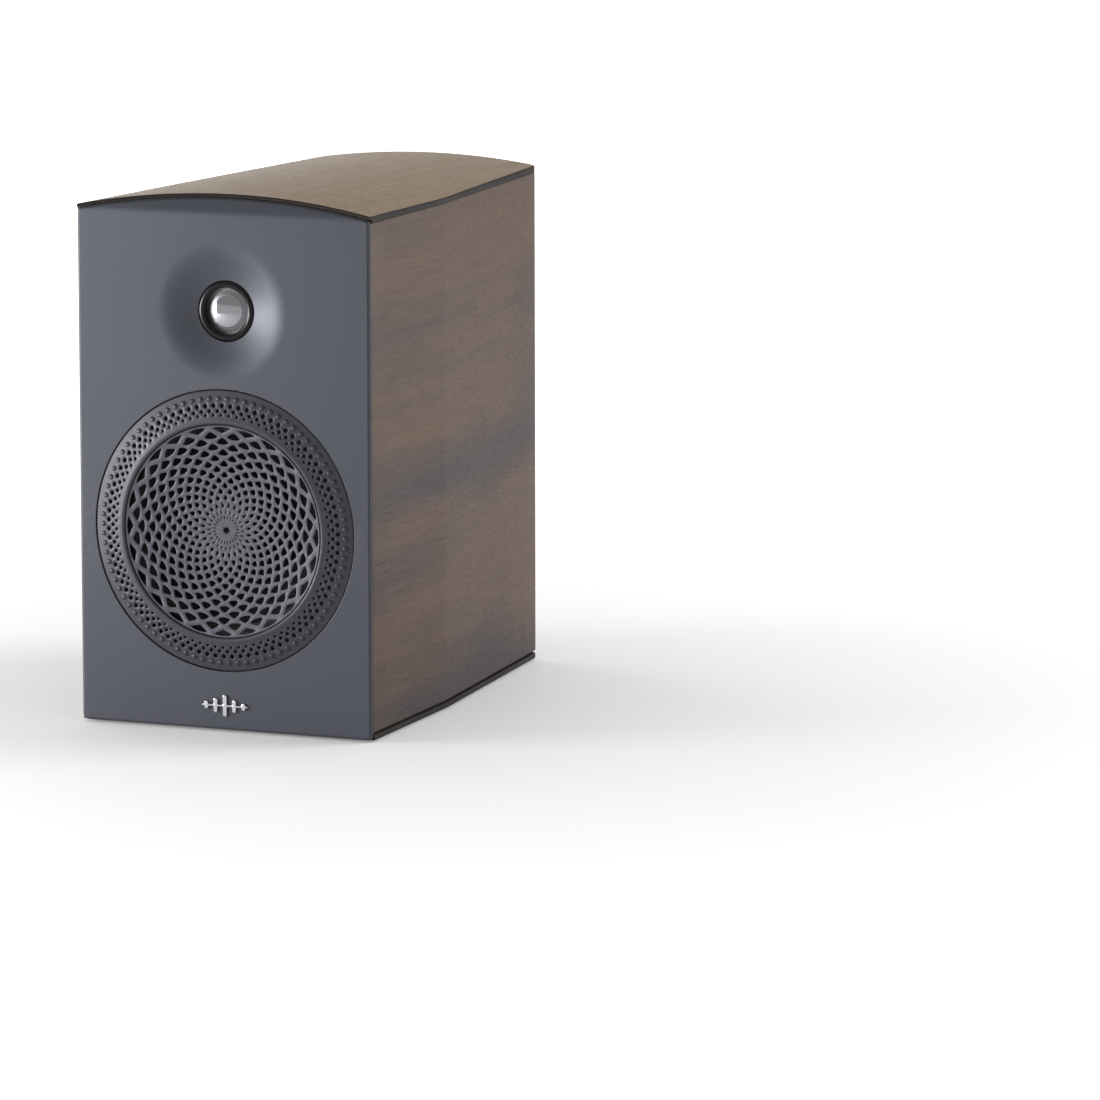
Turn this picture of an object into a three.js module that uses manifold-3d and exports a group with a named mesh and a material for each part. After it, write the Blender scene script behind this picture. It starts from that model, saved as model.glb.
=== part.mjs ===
// Two-way bookshelf speaker: a tapered, veneered cabinet with an arched top, a woofer behind a perforated
// lens, a dome tweeter in a waveguide, a rear port and two binding posts.
//
// Millimetres. +X is to the right seen from the front, the front faces -Y and +Z is up. Every piece is first
// placed by its depth behind the fascia's face (y = 0) and its height above the cabinet's underside (z = 0).
// The whole group is then moved, so that the origin is the middle of the object's footprint on the floor.

import * as THREE from 'three';
import { mergeVertices } from 'three/addons/utils/BufferGeometryUtils.js';
import Module from 'manifold-3d';

const wasm = await Module();
wasm.setup();

// ---- Driving dimensions ------------------------------------------------------------------------------

const gap = 0.3;                    // between pieces that touch

// Sides that stand for a circle: large rings, middling ones, small ones and fasteners
const largeRound = 36;
const midRound = 24;
const smallRound = 16;
const postRound = 12;
const tinyRound = 8;

// Cabinet
const frontHalfWidth = 98.5;        // at the fascia
const creaseHalfWidth = 94.5;       // at the vertical crease in each side
const rearHalfWidth = 75;
const creaseSetback = 122.5;        // from the fascia's face to the crease
const cabinetDepth = 312;
const sideHeight = 321.5;           // to the top panel's edge at the sides
const archRise = 9.5;               // the top panel's middle above its edge, at the front
const topFall = 3.6;                // how much lower the top is at the back, so that its edges stay level
const wall = 15;                    // side panels
const shelfThickness = 15;          // the parts of the top and bottom panels between the sides
const topEdge = 4;                  // the top panel's visible edge
const bottomEdge = 3.5;             // the bottom panel's visible edge
const bottomGroove = 1.3;           // shadow gap between the bottom edge and the sides
const panelOverhang = 0.8;          // top and bottom edges beyond the sides
const footRadius = 9;
const footProud = 1.5;
const footRecess = 1;
const footInset = 24;               // from the panel's edges to a foot's middle

// Boards
const fasciaRim = 2.4;              // the fascia where it laps the side panels
const fasciaDepth = 8;
const fasciaBevel = 1.5;
const fasciaBottomCorner = 4;
const browLean = 5;                 // how far the fascia's arched top leans back in the middle
const topLip = 2;                   // the top panel's front lip above the fascia
const frontBoardThickness = 18;
const rearBoardThickness = 12;
const braceThickness = 15;
const braceBar = 26;                // width of the brace's bars
const braceCorner = 12;             // round corners of the brace's windows

// Woofer
const wooferHeight = 124;           // its axis above the cabinet's underside
const wooferRingRadius = 87;
const wooferRingSlot = 0.5;         // dark groove round the trim ring
const wooferRingSlope = 19.2;       // from the ring's outside in to its crest
const wooferRingProud = 3.3;        // the trim ring's crest in front of the fascia
const wooferRingLip = 2.1;          // from the crest in to the lens
const wooferLensDip = 5.8;          // the lens's middle behind its edge
const wooferLensThickness = 1.2;
const wooferFlangeInset = 6;        // inside the trim ring
const wooferFlangeThickness = 2.6;
const wooferGasketThickness = 0.9;
const wooferFlangeWidth = 7.1;
const wooferBasketWall = 3;
const wooferConeSetback = 14;       // the cone's rim behind the fascia's face
const wooferConeDepth = 24;
const wooferConeThickness = 1;
const wooferConeHollow = 0.12;      // how far the cone's side bows, as a share of its depth
const surroundWidth = 10.3;
const surroundRise = 5;
const surroundThickness = 0.9;
const dustCapOverlap = 3.1;         // beyond the voice coil
const dustCapHeight = 8;
const spiderSetback = 48;
const spiderWaveHeight = 1.6;
const wooferCoilRadius = 19.4;
const wooferCoilWall = 0.7;
const wooferCoilGap = 0.6;          // voice coil to the steel on each side
const wooferFrameDepth = 55.8;      // flange's face to the pole ring
const frameWindowWidth = 34;
const frameWindowDepth = 24;
const wooferSteelRadius = 46;       // pole ring and yoke plate
const magnetClearance = 4.6;        // either driver's magnet outside its voice coil
const wooferMagnetRadius = 50;
const wooferMagnetThickness = 18;
const wooferSteelThickness = 5.7;   // pole ring and yoke plate
const wooferVentRadius = 5;
const wooferScrewCount = 4;
const wooferScrewLength = 18;
const tagSize = [18, 8, 7];
const lensSpokes = 24;              // openings round the woofer lens
const lensOpeningFrom = 26;
const lensOpeningMargin = 3.7;      // from the openings' outer points to the lens's edge
const lensOpeningShare = 0.7;       // of the pitch, at an opening's widest

// Tweeter
const tweeterDrop = 62.5;           // its axis below the cabinet's side height
const waveguideRadius = 40;
const waveguideDepth = 5.5;
const waveguideThroat = 19;
const bezelInnerRadius = 14.2;
const lensFlange = 1.3;             // the tweeter's lens beyond the bezel's bore
const lensThickness = 0.6;
const lensRise = 1.2;
const lensSlots = 12;               // slots in the tweeter's lens
const tweeterPlateRadius = 44;
const tweeterPlateThickness = 4;
const domeRadius = 12.6;
const domeHeight = 3.4;
const domeThickness = 0.5;
const tweeterSurroundRise = 0.9;
const tweeterSurroundThickness = 0.4;
const tweeterCoilWall = 0.5;
const tweeterCoilGap = 0.6;
const tweeterMagnetRadius = 33;
const tweeterMagnetThickness = 10;
const tweeterSteelThickness = 3.5;
const tweeterSteelInset = 3;        // pole ring and yoke plate inside the magnet's edge
const tweeterVentRadius = 3;
const tweeterScrewLength = 12;
const chamberDepth = 15;
const chamberWall = 1.5;

// Rear
const portHeight = 235;
const portBore = 26;
const portWall = 2.2;
const portLength = 120;
const portMouthRadius = 38;
const portFlangeRadius = 45;
const portFlangeThickness = 2.5;
const portFlareLength = 16;
const terminalHeight = 76;
const terminalHalfWidth = 46;
const terminalHalfHeight = 39;
const terminalPlateThickness = 3;
const terminalLedge = 9;            // how far the plate laps the rear board
const postSpacing = 19;
const postRadius = 2.9;
const postLength = 17.5;            // outside the plate
const postFlangeRadius = 6.6;
const postFlangeThickness = 2;
const postSpacerRadius = 5;
const postTail = 3;                 // beyond the crossover board
const bananaBore = 2.05;
const bananaDepth = 15;
const knobRadius = 7.5;
const knobLength = 14;
const knobFlutes = 8;
const knobClearance = 0.35;         // knob and washer on the stud
const washerThickness = 1.2;
const boardThickness = 1.6;         // crossover board
const boardStandoff = 12;           // crossover board behind the terminal plate
const boardMargin = 3;              // crossover board inside the rear board's window
const inductorRadius = 11;
const inductorBore = 6;
const inductorHeight = 12;
const capacitorRadius = 6;
const capacitorLength = 26;
const leadRadius = 1.8;

// Fasteners
const screwRadius = 1.9;
const screwHeadRadius = 3.2;
const screwHeadThickness = 1.8;
const screwClearance = 0.35;
const terminalScrewLength = 9;

// Badge
const badgeHeight = 15.4;
const badgeWidth = 31;
const badgeThickness = 1.2;
const badgeBarHeights = [5, 9, 13.5, 8, 4.5];
const badgeBarWidth = 2.6;
const badgeLineEnds = 1.6;          // the line's ends beyond the outer bars
const badgeLineHeight = 1.2;

// Damping wadding
const waddingThickness = 18;
const waddingClearance = 8;         // from the tweeter's chamber and the brace
const waddingHalfWidth = 62;

// ---- Worked-out places -------------------------------------------------------------------------------

const wooferCrestRadius = wooferRingRadius - wooferRingSlope;
const wooferLensRadius = wooferCrestRadius - wooferRingLip;
const lensOpeningTo = wooferLensRadius - lensOpeningMargin;
const wooferFlangeRadius = wooferRingRadius - wooferFlangeInset;
const wooferBasketRadius = wooferFlangeRadius - wooferFlangeWidth;
const wooferConeRadius = wooferBasketRadius - wooferBasketWall - surroundWidth - 2 * gap;

const tweeterHeight = sideHeight - tweeterDrop;
const sideTop = sideHeight - topEdge - gap;
const sideBottom = bottomEdge + bottomGroove;
const sideFront = fasciaRim + 0.7;  // the dark line between the fascia and the veneer
const frontBoardY = fasciaDepth + gap;
const frontBoardBack = frontBoardY + frontBoardThickness;
const rearBoardY = cabinetDepth - rearBoardThickness;
const insideFloor = bottomEdge + shelfThickness;
const insideCeiling = sideTop - shelfThickness;

const flangeBack = frontBoardY - gap - wooferGasketThickness - gap;
const flangeFront = flangeBack - wooferFlangeThickness;
const wooferRearY = flangeFront + wooferFrameDepth;
const poleRingY = wooferRearY + gap;
const magnetY = poleRingY + wooferSteelThickness + gap;
const yokeY = magnetY + wooferMagnetThickness + gap;
const yokeBack = yokeY + wooferSteelThickness;
const coneBackY = wooferConeSetback + wooferConeDepth;
const coneNeck = wooferCoilRadius + gap;
const frameRearRadius = wooferSteelRadius + 1.5;
const frameTaperY = 16;             // where the basket's side starts to close in
const frameTaperEnd = spiderSetback + 4;

const bezelY = waveguideDepth - 0.6;
const tweeterPlateY = fasciaDepth + 2 * gap;
const tweeterPlateBack = tweeterPlateY + tweeterPlateThickness;
const domeBaseY = tweeterPlateBack - gap;
const tweeterRingY = tweeterPlateBack + gap;
const tweeterMagnetY = tweeterRingY + tweeterSteelThickness + gap;
const tweeterYokeY = tweeterMagnetY + tweeterMagnetThickness + gap;
const chamberY = tweeterYokeY + tweeterSteelThickness + gap;

const tweeterSteelRadius = tweeterMagnetRadius - tweeterSteelInset;

const portInnerY = cabinetDepth - portLength;
const braceY = (yokeBack + portInnerY - braceThickness) / 2;
const terminalOuterY = cabinetDepth + gap + terminalPlateThickness;
const washerY = terminalOuterY + gap + postFlangeThickness + gap;
const knobY = washerY + washerThickness + gap;
const crossoverBoardY = cabinetDepth - boardStandoff;

// ---- Materials ---------------------------------------------------------------------------------------

function finish(color, roughness, metalness) {
  return () => new THREE.MeshStandardMaterial({ color, roughness, metalness });
}

const veneer = finish(0x6e6259, 0.5, 0);
const edgeBand = finish(0x4a4542, 0.5, 0);
const rawBoard = finish(0x8a6f52, 0.85, 0);
const graphite = finish(0x66666f, 0.42, 0.15);
const blackBoard = finish(0x202022, 0.6, 0);
const blackPlastic = finish(0x111113, 0.4, 0);
const glossBlack = finish(0x08080a, 0.15, 0);
const redPlastic = finish(0x8c1416, 0.35, 0);
const softRubber = finish(0x161616, 0.8, 0);
const castMetal = finish(0x3c3e42, 0.5, 0.7);
const steel = finish(0x8c8f93, 0.4, 0.9);
const ferrite = finish(0x2c2b2c, 0.7, 0.1);
const gold = finish(0xc9a045, 0.3, 1);
const chrome = finish(0xd8dadd, 0.12, 1);
const meshSteel = finish(0xaeb1b6, 0.3, 0.9);
const coneGrey = finish(0x44464d, 0.7, 0);
const clothYellow = finish(0x9b8347, 0.9, 0);
const aluminium = finish(0xc4c8cc, 0.22, 1);
const boardGreen = finish(0x1f4a33, 0.6, 0);
const copper = finish(0xa8623a, 0.4, 0.8);
const capBlue = finish(0x23304f, 0.5, 0);
const wool = finish(0xd6d4cd, 0.95, 0);

// ---- Solids ------------------------------------------------------------------------------------------

// A closed geometry as a solid: seams merged, slivers of no area left out, faces turned outwards.
function solid(geometry) {
  const bare = geometry.index ? geometry.toNonIndexed() : geometry.clone();
  bare.deleteAttribute('normal');
  bare.deleteAttribute('uv');
  const merged = mergeVertices(bare, 1e-4);
  const points = merged.attributes.position;
  const index = merged.index.array;
  const corners = [];
  const a = new THREE.Vector3();
  const b = new THREE.Vector3();
  const c = new THREE.Vector3();
  let volume = 0;
  for (let i = 0; i < index.length; i += 3) {
    const [p, q, r] = [index[i], index[i + 1], index[i + 2]];
    if (p === q || q === r || r === p) continue;
    corners.push(p, q, r);
    a.fromBufferAttribute(points, p);
    b.fromBufferAttribute(points, q);
    c.fromBufferAttribute(points, r);
    volume += a.dot(b.cross(c));
  }
  if (volume < 0) corners.reverse();
  return new wasm.Manifold(new wasm.Mesh({
    numProp: 3,
    vertProperties: new Float32Array(points.array),
    triVerts: new Uint32Array(corners),
  }));
}

function geometryOf(body) {
  const mesh = body.getMesh();
  const geometry = new THREE.BufferGeometry();
  geometry.setAttribute('position', new THREE.BufferAttribute(new Float32Array(mesh.vertProperties), 3));
  geometry.setIndex(new THREE.BufferAttribute(new Uint32Array(mesh.triVerts), 1));
  return geometry;
}

function cut(body, ...tools) {
  return tools.reduce((left, tool) => left.subtract(tool), body);
}

function join(first, ...rest) {
  return rest.reduce((sum, piece) => sum.add(piece), first);
}

// A ring or disc turned about the Y axis. The profile is a list of [radius, y], closed on itself or on the
// axis; centreX and centreZ place its axis.
function turned(profile, segments, centreX = 0, centreZ = 0) {
  const points = profile.map(([radius, y]) => new THREE.Vector2(radius, y));
  const onAxis = profile[0][0] === 0 && profile[profile.length - 1][0] === 0;
  if (!onAxis) points.push(points[0].clone());
  return solid(new THREE.LatheGeometry(points, segments).translate(centreX, 0, centreZ));
}

function tube(inner, outer, yFrom, yTo, segments, centreX = 0, centreZ = 0) {
  const profile = [[inner, yFrom], [outer, yFrom], [outer, yTo], [inner, yTo]];
  return turned(profile, segments, centreX, centreZ);
}

function rod(radius, yFrom, yTo, segments, centreX = 0, centreZ = 0) {
  const profile = [[0, yFrom], [radius, yFrom], [radius, yTo], [0, yTo]];
  return turned(profile, segments, centreX, centreZ);
}

// A shape drawn in plan, [x, y], raised from zFrom to zTo.
function raised(shape, zFrom, zTo, curveSegments = 6) {
  const options = { depth: zTo - zFrom, bevelEnabled: false, curveSegments };
  return solid(new THREE.ExtrudeGeometry(shape, options).translate(0, 0, zFrom));
}

// A shape drawn in elevation, [x, z], carried from yFrom back to yTo.
function carried(shape, yFrom, yTo, curveSegments = 6) {
  const options = { depth: yTo - yFrom, bevelEnabled: false, curveSegments };
  return solid(new THREE.ExtrudeGeometry(shape, options).rotateX(Math.PI / 2).translate(0, yTo, 0));
}

function block(xFrom, xTo, yFrom, yTo, zFrom, zTo) {
  const geometry = new THREE.BoxGeometry(xTo - xFrom, yTo - yFrom, zTo - zFrom);
  return solid(geometry.translate((xFrom + xTo) / 2, (yFrom + yTo) / 2, (zFrom + zTo) / 2));
}

function outline(points) {
  return new THREE.Shape(points.map(([x, y]) => new THREE.Vector2(x, y)));
}

// A rectangle about (centreX, centreZ) with round corners.
function roundedRectangle(halfWidth, halfHeight, radius, centreX = 0, centreZ = 0) {
  const shape = new THREE.Shape();
  const [left, right] = [centreX - halfWidth, centreX + halfWidth];
  const [low, high] = [centreZ - halfHeight, centreZ + halfHeight];
  shape.moveTo(left + radius, low);
  shape.lineTo(right - radius, low);
  shape.absarc(right - radius, low + radius, radius, -Math.PI / 2, 0);
  shape.lineTo(right, high - radius);
  shape.absarc(right - radius, high - radius, radius, 0, Math.PI / 2);
  shape.lineTo(left + radius, high);
  shape.absarc(left + radius, high - radius, radius, Math.PI / 2, Math.PI);
  shape.lineTo(left, low + radius);
  shape.absarc(left + radius, low + radius, radius, Math.PI, 1.5 * Math.PI);
  return shape;
}

const speaker = new THREE.Group();

function add(name, body, material, place = [0, 0, 0]) {
  const mesh = new THREE.Mesh(geometryOf(body), material());
  mesh.name = name;
  mesh.position.set(...place);
  speaker.add(mesh);
}

// ---- Cabinet -----------------------------------------------------------------------------------------

// The cabinet's half width at a depth: one straight taper to the crease, a steeper one behind it.
function halfWidthAt(y) {
  if (y <= creaseSetback) {
    return frontHalfWidth + (creaseHalfWidth - frontHalfWidth) * (y / creaseSetback);
  }
  const share = (y - creaseSetback) / (cabinetDepth - creaseSetback);
  return creaseHalfWidth + (rearHalfWidth - creaseHalfWidth) * share;
}

// One flank's points from front to back, a given distance inside the cabinet's side.
function flank(inset, yFrom, yTo) {
  const depths = [yFrom];
  if (yFrom < creaseSetback && creaseSetback < yTo) depths.push(creaseSetback);
  depths.push(yTo);
  return depths.map((y) => [halfWidthAt(y) - inset, y]);
}

function mirrored(points) {
  return points.map(([x, y]) => [-x, y]).reverse();
}

// A board that fills the cabinet between the side panels.
function betweenSides(inset, yFrom, yTo, zFrom, zTo) {
  const right = flank(inset, yFrom, yTo);
  return raised(outline([...right, ...mirrored(right)]), zFrom, zTo);
}

// The top's arch: a circular arc through the two side edges, archRise higher in the middle.
const archRadius = (frontHalfWidth ** 2 + archRise ** 2) / (2 * archRise);

function archTop(x) {
  return sideHeight + archRise - archRadius + Math.sqrt(archRadius ** 2 - x ** 2);
}

function archPoints(lowerBy, halfWidth, steps) {
  const points = [];
  for (let i = 0; i <= steps; i += 1) {
    const x = halfWidth - (2 * halfWidth * i) / steps;
    points.push([x, archTop(x) - lowerBy]);
  }
  return points;
}

const archSteps = 16;
const browStart = archTop(frontHalfWidth) - topLip - gap;
const browFull = archTop(0) - topLip - gap;
const browSlope = browLean / (browFull - browStart);

// How far back the top panel's front edge stands over the leaning brow, with the same arch in plan.
function lipFrontAt(x) {
  return 0.5 + browSlope * (archTop(x) - archTop(frontHalfWidth));
}

function sidePanel(side) {
  const outer = flank(0, sideFront, cabinetDepth);
  const inner = flank(wall, sideFront, cabinetDepth).reverse();
  const plan = outline([...outer, ...inner].map(([x, y]) => [side * x, y]));
  return cut(raised(plan, sideBottom, sideTop), wooferPocket());
}

// The space that the woofer's flange and ring take out of whatever stands behind the fascia.
function wooferPocket() {
  const radius = wooferFlangeRadius + 0.5;
  return rod(radius, 0, frontBoardY, largeRound, 0, wooferHeight);
}

function topPanel() {
  const edgeHalfWidth = frontHalfWidth + panelOverhang;
  const arch = archPoints(0, edgeHalfWidth, archSteps);
  const underside = sideTop + gap;
  const archedBar = carried(outline([[-edgeHalfWidth, 0], [edgeHalfWidth, 0], ...arch]), -1,
    cabinetDepth + panelOverhang + 1);
  // Leaning the bar lowers its top towards the back.
  const fallen = archedBar.transform([1, 0, 0, 0, 0, 1, -topFall / cabinetDepth, 0, 0, 0, 1, 0, 0, 0, 0, 1]);
  const rear = cabinetDepth + panelOverhang;
  const corner = 6;
  const plan = new THREE.Shape();
  const front = [];
  for (let i = 0; i <= archSteps; i += 1) {
    const x = -frontHalfWidth + (2 * frontHalfWidth * i) / archSteps;
    front.push([x, lipFrontAt(x)]);
  }
  plan.moveTo(...front[0]);
  front.slice(1).forEach(([x, y]) => plan.lineTo(x, y));
  plan.lineTo(halfWidthAt(2) + panelOverhang, 2);
  plan.lineTo(creaseHalfWidth + panelOverhang, creaseSetback);
  plan.lineTo(halfWidthAt(rear - corner) + panelOverhang, rear - corner);
  plan.quadraticCurveTo(rearHalfWidth + panelOverhang, rear, rearHalfWidth + panelOverhang - corner, rear);
  plan.lineTo(-rearHalfWidth - panelOverhang + corner, rear);
  plan.quadraticCurveTo(-rearHalfWidth - panelOverhang, rear, -halfWidthAt(rear - corner) - panelOverhang,
    rear - corner);
  plan.lineTo(-creaseHalfWidth - panelOverhang, creaseSetback);
  plan.lineTo(-halfWidthAt(2) - panelOverhang, 2);
  const cap = fallen.intersect(raised(plan, underside, archTop(0) + 1, 3));
  const underLip = archPoints(topLip, frontHalfWidth + 5, archSteps);
  const fasciaRoom = carried(outline([[-frontHalfWidth - 5, insideCeiling],
    [frontHalfWidth + 5, insideCeiling], ...underLip]), -1, frontBoardY);
  const shelf = betweenSides(wall + gap, frontBoardBack + gap, rearBoardY - gap, insideCeiling,
    underside + 1);
  return join(cut(cap, fasciaRoom), shelf);
}

function bottomPanel() {
  const rear = cabinetDepth + panelOverhang;
  const corner = 6;
  const right = flank(-panelOverhang, fasciaRim + gap, rear - corner);
  const plan = outline([...right]);
  plan.quadraticCurveTo(rearHalfWidth + panelOverhang, rear, rearHalfWidth + panelOverhang - corner, rear);
  plan.lineTo(-rearHalfWidth - panelOverhang + corner, rear);
  plan.quadraticCurveTo(-rearHalfWidth - panelOverhang, rear, -halfWidthAt(rear - corner) - panelOverhang,
    rear - corner);
  mirrored(right).slice(1).forEach(([x, y]) => plan.lineTo(x, y));
  const slab = raised(plan, 0, bottomEdge, 3);
  const shelf = betweenSides(wall + gap, frontBoardBack + gap, rearBoardY - gap, bottomEdge / 2, insideFloor);
  const recesses = footPlaces().map(([x, y]) => {
    const recess = new THREE.CylinderGeometry(footRadius + gap, footRadius + gap, 2 * footRecess, smallRound);
    return solid(recess.rotateX(Math.PI / 2).translate(x, y, 0));
  });
  return cut(join(slab, shelf), ...recesses);
}

function footPlaces() {
  const [nearY, farY] = [footInset, cabinetDepth - footInset];
  return [-1, 1].flatMap((side) => [nearY, farY].map((y) => [side * (halfWidthAt(y) - footInset), y]));
}

function foot() {
  const height = footProud + footRecess - gap;
  const geometry = new THREE.CylinderGeometry(footRadius, footRadius - 1, height, smallRound);
  return solid(geometry.rotateX(Math.PI / 2).translate(0, 0, footRecess - gap - height / 2));
}

function frontBoard() {
  const board = betweenSides(wall + gap, frontBoardY, frontBoardBack, bottomEdge + gap, sideTop - gap);
  const basketHole = rod(wooferBasketRadius + 0.6, 0, frontBoardBack + 1, largeRound, 0, wooferHeight);
  const plateSeat = rod(tweeterPlateRadius + gap, 0, tweeterPlateBack + gap, midRound, 0, tweeterHeight);
  const magnetHole = rod(tweeterMagnetRadius + 1, 0, frontBoardBack + 1, midRound, 0, tweeterHeight);
  const pilots = [...wooferScrewPlaces(), ...tweeterScrewPlaces()].map(([x, z]) => (
    rod(screwRadius + gap, 0, frontBoardBack - 2, tinyRound, x, z)));
  return cut(board, basketHole, plateSeat, magnetHole, ...pilots);
}

function rearBoard() {
  const board = betweenSides(wall + gap, rearBoardY, cabinetDepth, bottomEdge + gap, sideTop - gap);
  const portHole = rod(portMouthRadius + 3.5, rearBoardY - 1, cabinetDepth + 1, midRound, 0, portHeight);
  const window = roundedRectangle(terminalHalfWidth - terminalLedge, terminalHalfHeight - terminalLedge, 4, 0,
    terminalHeight);
  const pilots = terminalScrewPlaces().map(([x, z]) => (
    rod(screwRadius + gap, rearBoardY + 1, cabinetDepth + 1, tinyRound, x, z)));
  return cut(board, portHole, carried(window, rearBoardY - 1, cabinetDepth + 1, 2), ...pilots);
}

// A window brace from side to side: a frame with one bar across, between the woofer and the port.
function brace() {
  const board = betweenSides(wall + gap, braceY, braceY + braceThickness, insideFloor + gap,
    insideCeiling - gap);
  const halfWindow = halfWidthAt(braceY + braceThickness) - wall - braceBar;
  const barHeight = (wooferHeight + tweeterHeight) / 2;
  const windows = [
    [insideFloor + braceBar, barHeight - braceBar / 2],
    [barHeight + braceBar / 2, insideCeiling - braceBar],
  ].map(([low, high]) => {
    const shape = roundedRectangle(halfWindow, (high - low) / 2, braceCorner, 0, (low + high) / 2);
    return carried(shape, braceY - 1, braceY + braceThickness + 1, 3);
  });
  return cut(board, ...windows);
}

// The fascia: a bevelled front plate with the arched, leaning brow, and a thicker body between the sides.
function fascia() {
  const halfWidth = frontHalfWidth - fasciaBevel;
  const low = fasciaBevel;
  const corner = fasciaBottomCorner - fasciaBevel;
  const plate = new THREE.Shape();
  plate.moveTo(-halfWidth + corner, low);
  plate.lineTo(halfWidth - corner, low);
  plate.absarc(halfWidth - corner, low + corner, corner, -Math.PI / 2, 0);
  archPoints(topLip + gap + fasciaBevel, halfWidth, archSteps).forEach(([x, z]) => plate.lineTo(x, z));
  plate.lineTo(-halfWidth, low + corner);
  plate.absarc(-halfWidth + corner, low + corner, corner, Math.PI, 1.5 * Math.PI);
  const bevelled = new THREE.ExtrudeGeometry(plate, {
    depth: fasciaRim - fasciaBevel,
    bevelThickness: fasciaBevel,
    bevelSize: fasciaBevel,
    bevelSegments: 1,
    curveSegments: 3,
  }).rotateX(Math.PI / 2).translate(0, fasciaRim, 0);
  const front = solid(bevelled).intersect(block(-200, 200, -1, fasciaRim, -10, 2 * sideHeight));
  const bodyHalfWidth = halfWidthAt(fasciaRim) - wall - gap;
  const archBody = archPoints(topLip + gap, bodyHalfWidth, archSteps);
  const body = carried(outline([[-bodyHalfWidth, bottomEdge + gap], [bodyHalfWidth, bottomEdge + gap],
    ...archBody]), fasciaBevel, fasciaDepth);
  // The brow leans back from its straight lower line: a wedge comes off the front.
  const high = archTop(0) + 5;
  const wedgeSide = new THREE.Shape([
    new THREE.Vector2(-5, browStart),
    new THREE.Vector2(0, browStart),
    new THREE.Vector2(browSlope * (high - browStart), high),
    new THREE.Vector2(-5, high),
  ]);
  const wedgeBar = new THREE.ExtrudeGeometry(wedgeSide, { depth: 2.2 * frontHalfWidth, bevelEnabled: false });
  const acrossX = new THREE.Matrix4().set(0, 0, 1, -1.1 * frontHalfWidth, 1, 0, 0, 0, 0, 1, 0, 0, 0, 0, 0, 1);
  const wedge = solid(wedgeBar.applyMatrix4(acrossX));
  const ringHole = rod(wooferRingRadius + wooferRingSlot, -1, fasciaRim + 0.6, largeRound, 0, wooferHeight);
  const flangeHole = rod(wooferFlangeRadius + 0.5, -1, fasciaDepth + 1, largeRound, 0, wooferHeight);
  const steps = 5;
  const dish = [[0, -1], [waveguideRadius + 1, -1], [waveguideRadius + 1, -0.02]];
  for (let i = 0; i <= steps; i += 1) {
    const share = i / steps;
    const radius = waveguideRadius + (waveguideThroat - waveguideRadius) * share;
    dish.push([radius, waveguideDepth * share ** 2 * (3 - 2 * share)]);
  }
  dish.push([waveguideThroat, fasciaDepth + 1], [0, fasciaDepth + 1]);
  return cut(join(front, body), wedge, ringHole, flangeHole, turned(dish, midRound, 0, tweeterHeight));
}

// A plain badge of five round-ended bars on one thin line, like a level meter.
function badge() {
  const back = -gap;
  const front = back - badgeThickness;
  const pitch = (badgeWidth - badgeBarWidth - 2 * badgeLineEnds) / (badgeBarHeights.length - 1);
  const first = (-pitch * (badgeBarHeights.length - 1)) / 2;
  const bars = badgeBarHeights.map((height, i) => {
    const bar = roundedRectangle(badgeBarWidth / 2, height / 2, badgeBarWidth / 2 - 0.01, first + i * pitch,
      badgeHeight);
    return carried(bar, front, back, 2);
  });
  const halfLine = badgeLineHeight / 2;
  const line = roundedRectangle(badgeWidth / 2, halfLine, halfLine - 0.1, 0, badgeHeight);
  return join(carried(line, front, back, 1), ...bars);
}

// ---- Fasteners ---------------------------------------------------------------------------------------

// A pan-head screw pointing back from its head's seat at y = 0.
function screw(length) {
  const profile = [
    [0, -screwHeadThickness], [screwHeadRadius * 0.75, -screwHeadThickness], [screwHeadRadius, -0.7],
    [screwHeadRadius, 0], [screwRadius, 0], [screwRadius, length - 2], [0, length],
  ];
  return turned(profile, tinyRound);
}

// Screw middles round a driver, [x, z].
function ringPlaces(count, radius, centreZ, firstAngle) {
  return Array.from({ length: count }, (_, i) => {
    const angle = firstAngle + (2 * Math.PI * i) / count;
    return [radius * Math.cos(angle), centreZ + radius * Math.sin(angle)];
  });
}

function wooferScrewPlaces() {
  const radius = (wooferBasketRadius + wooferFlangeRadius) / 2;
  return ringPlaces(wooferScrewCount, radius, wooferHeight, Math.PI / 4);
}

function tweeterScrewPlaces() {
  return ringPlaces(2, (tweeterMagnetRadius + 1 + tweeterPlateRadius) / 2, tweeterHeight, 0);
}

function terminalScrewPlaces() {
  const [x, z] = [terminalHalfWidth - terminalLedge / 2, terminalHalfHeight - terminalLedge / 2];
  return [[-x, -z], [x, -z], [x, z], [-x, z]].map(([dx, dz]) => [dx, terminalHeight + dz]);
}

// ---- Woofer ------------------------------------------------------------------------------------------

function wooferTrimRing() {
  const front = -wooferRingProud;
  const inner = wooferLensRadius + gap;
  const seat = flangeFront - gap;
  const legInner = wooferBasketRadius - wooferBasketWall;
  const headRoom = flangeFront - gap - screwHeadThickness - 0.6;
  return turned([
    [inner, 0.2], [inner, front + 1.3], [inner + 0.5, front + 0.3], [wooferCrestRadius, front],
    [wooferRingRadius, 0.5], [wooferRingRadius, fasciaRim], [wooferFlangeRadius + 0.4, fasciaRim],
    [wooferFlangeRadius + 0.2, headRoom], [legInner + 2, headRoom - 0.4], [legInner + 2, seat],
    [legInner, seat], [legInner, 0.6],
  ].reverse(), largeRound, 0, wooferHeight);
}

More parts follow.
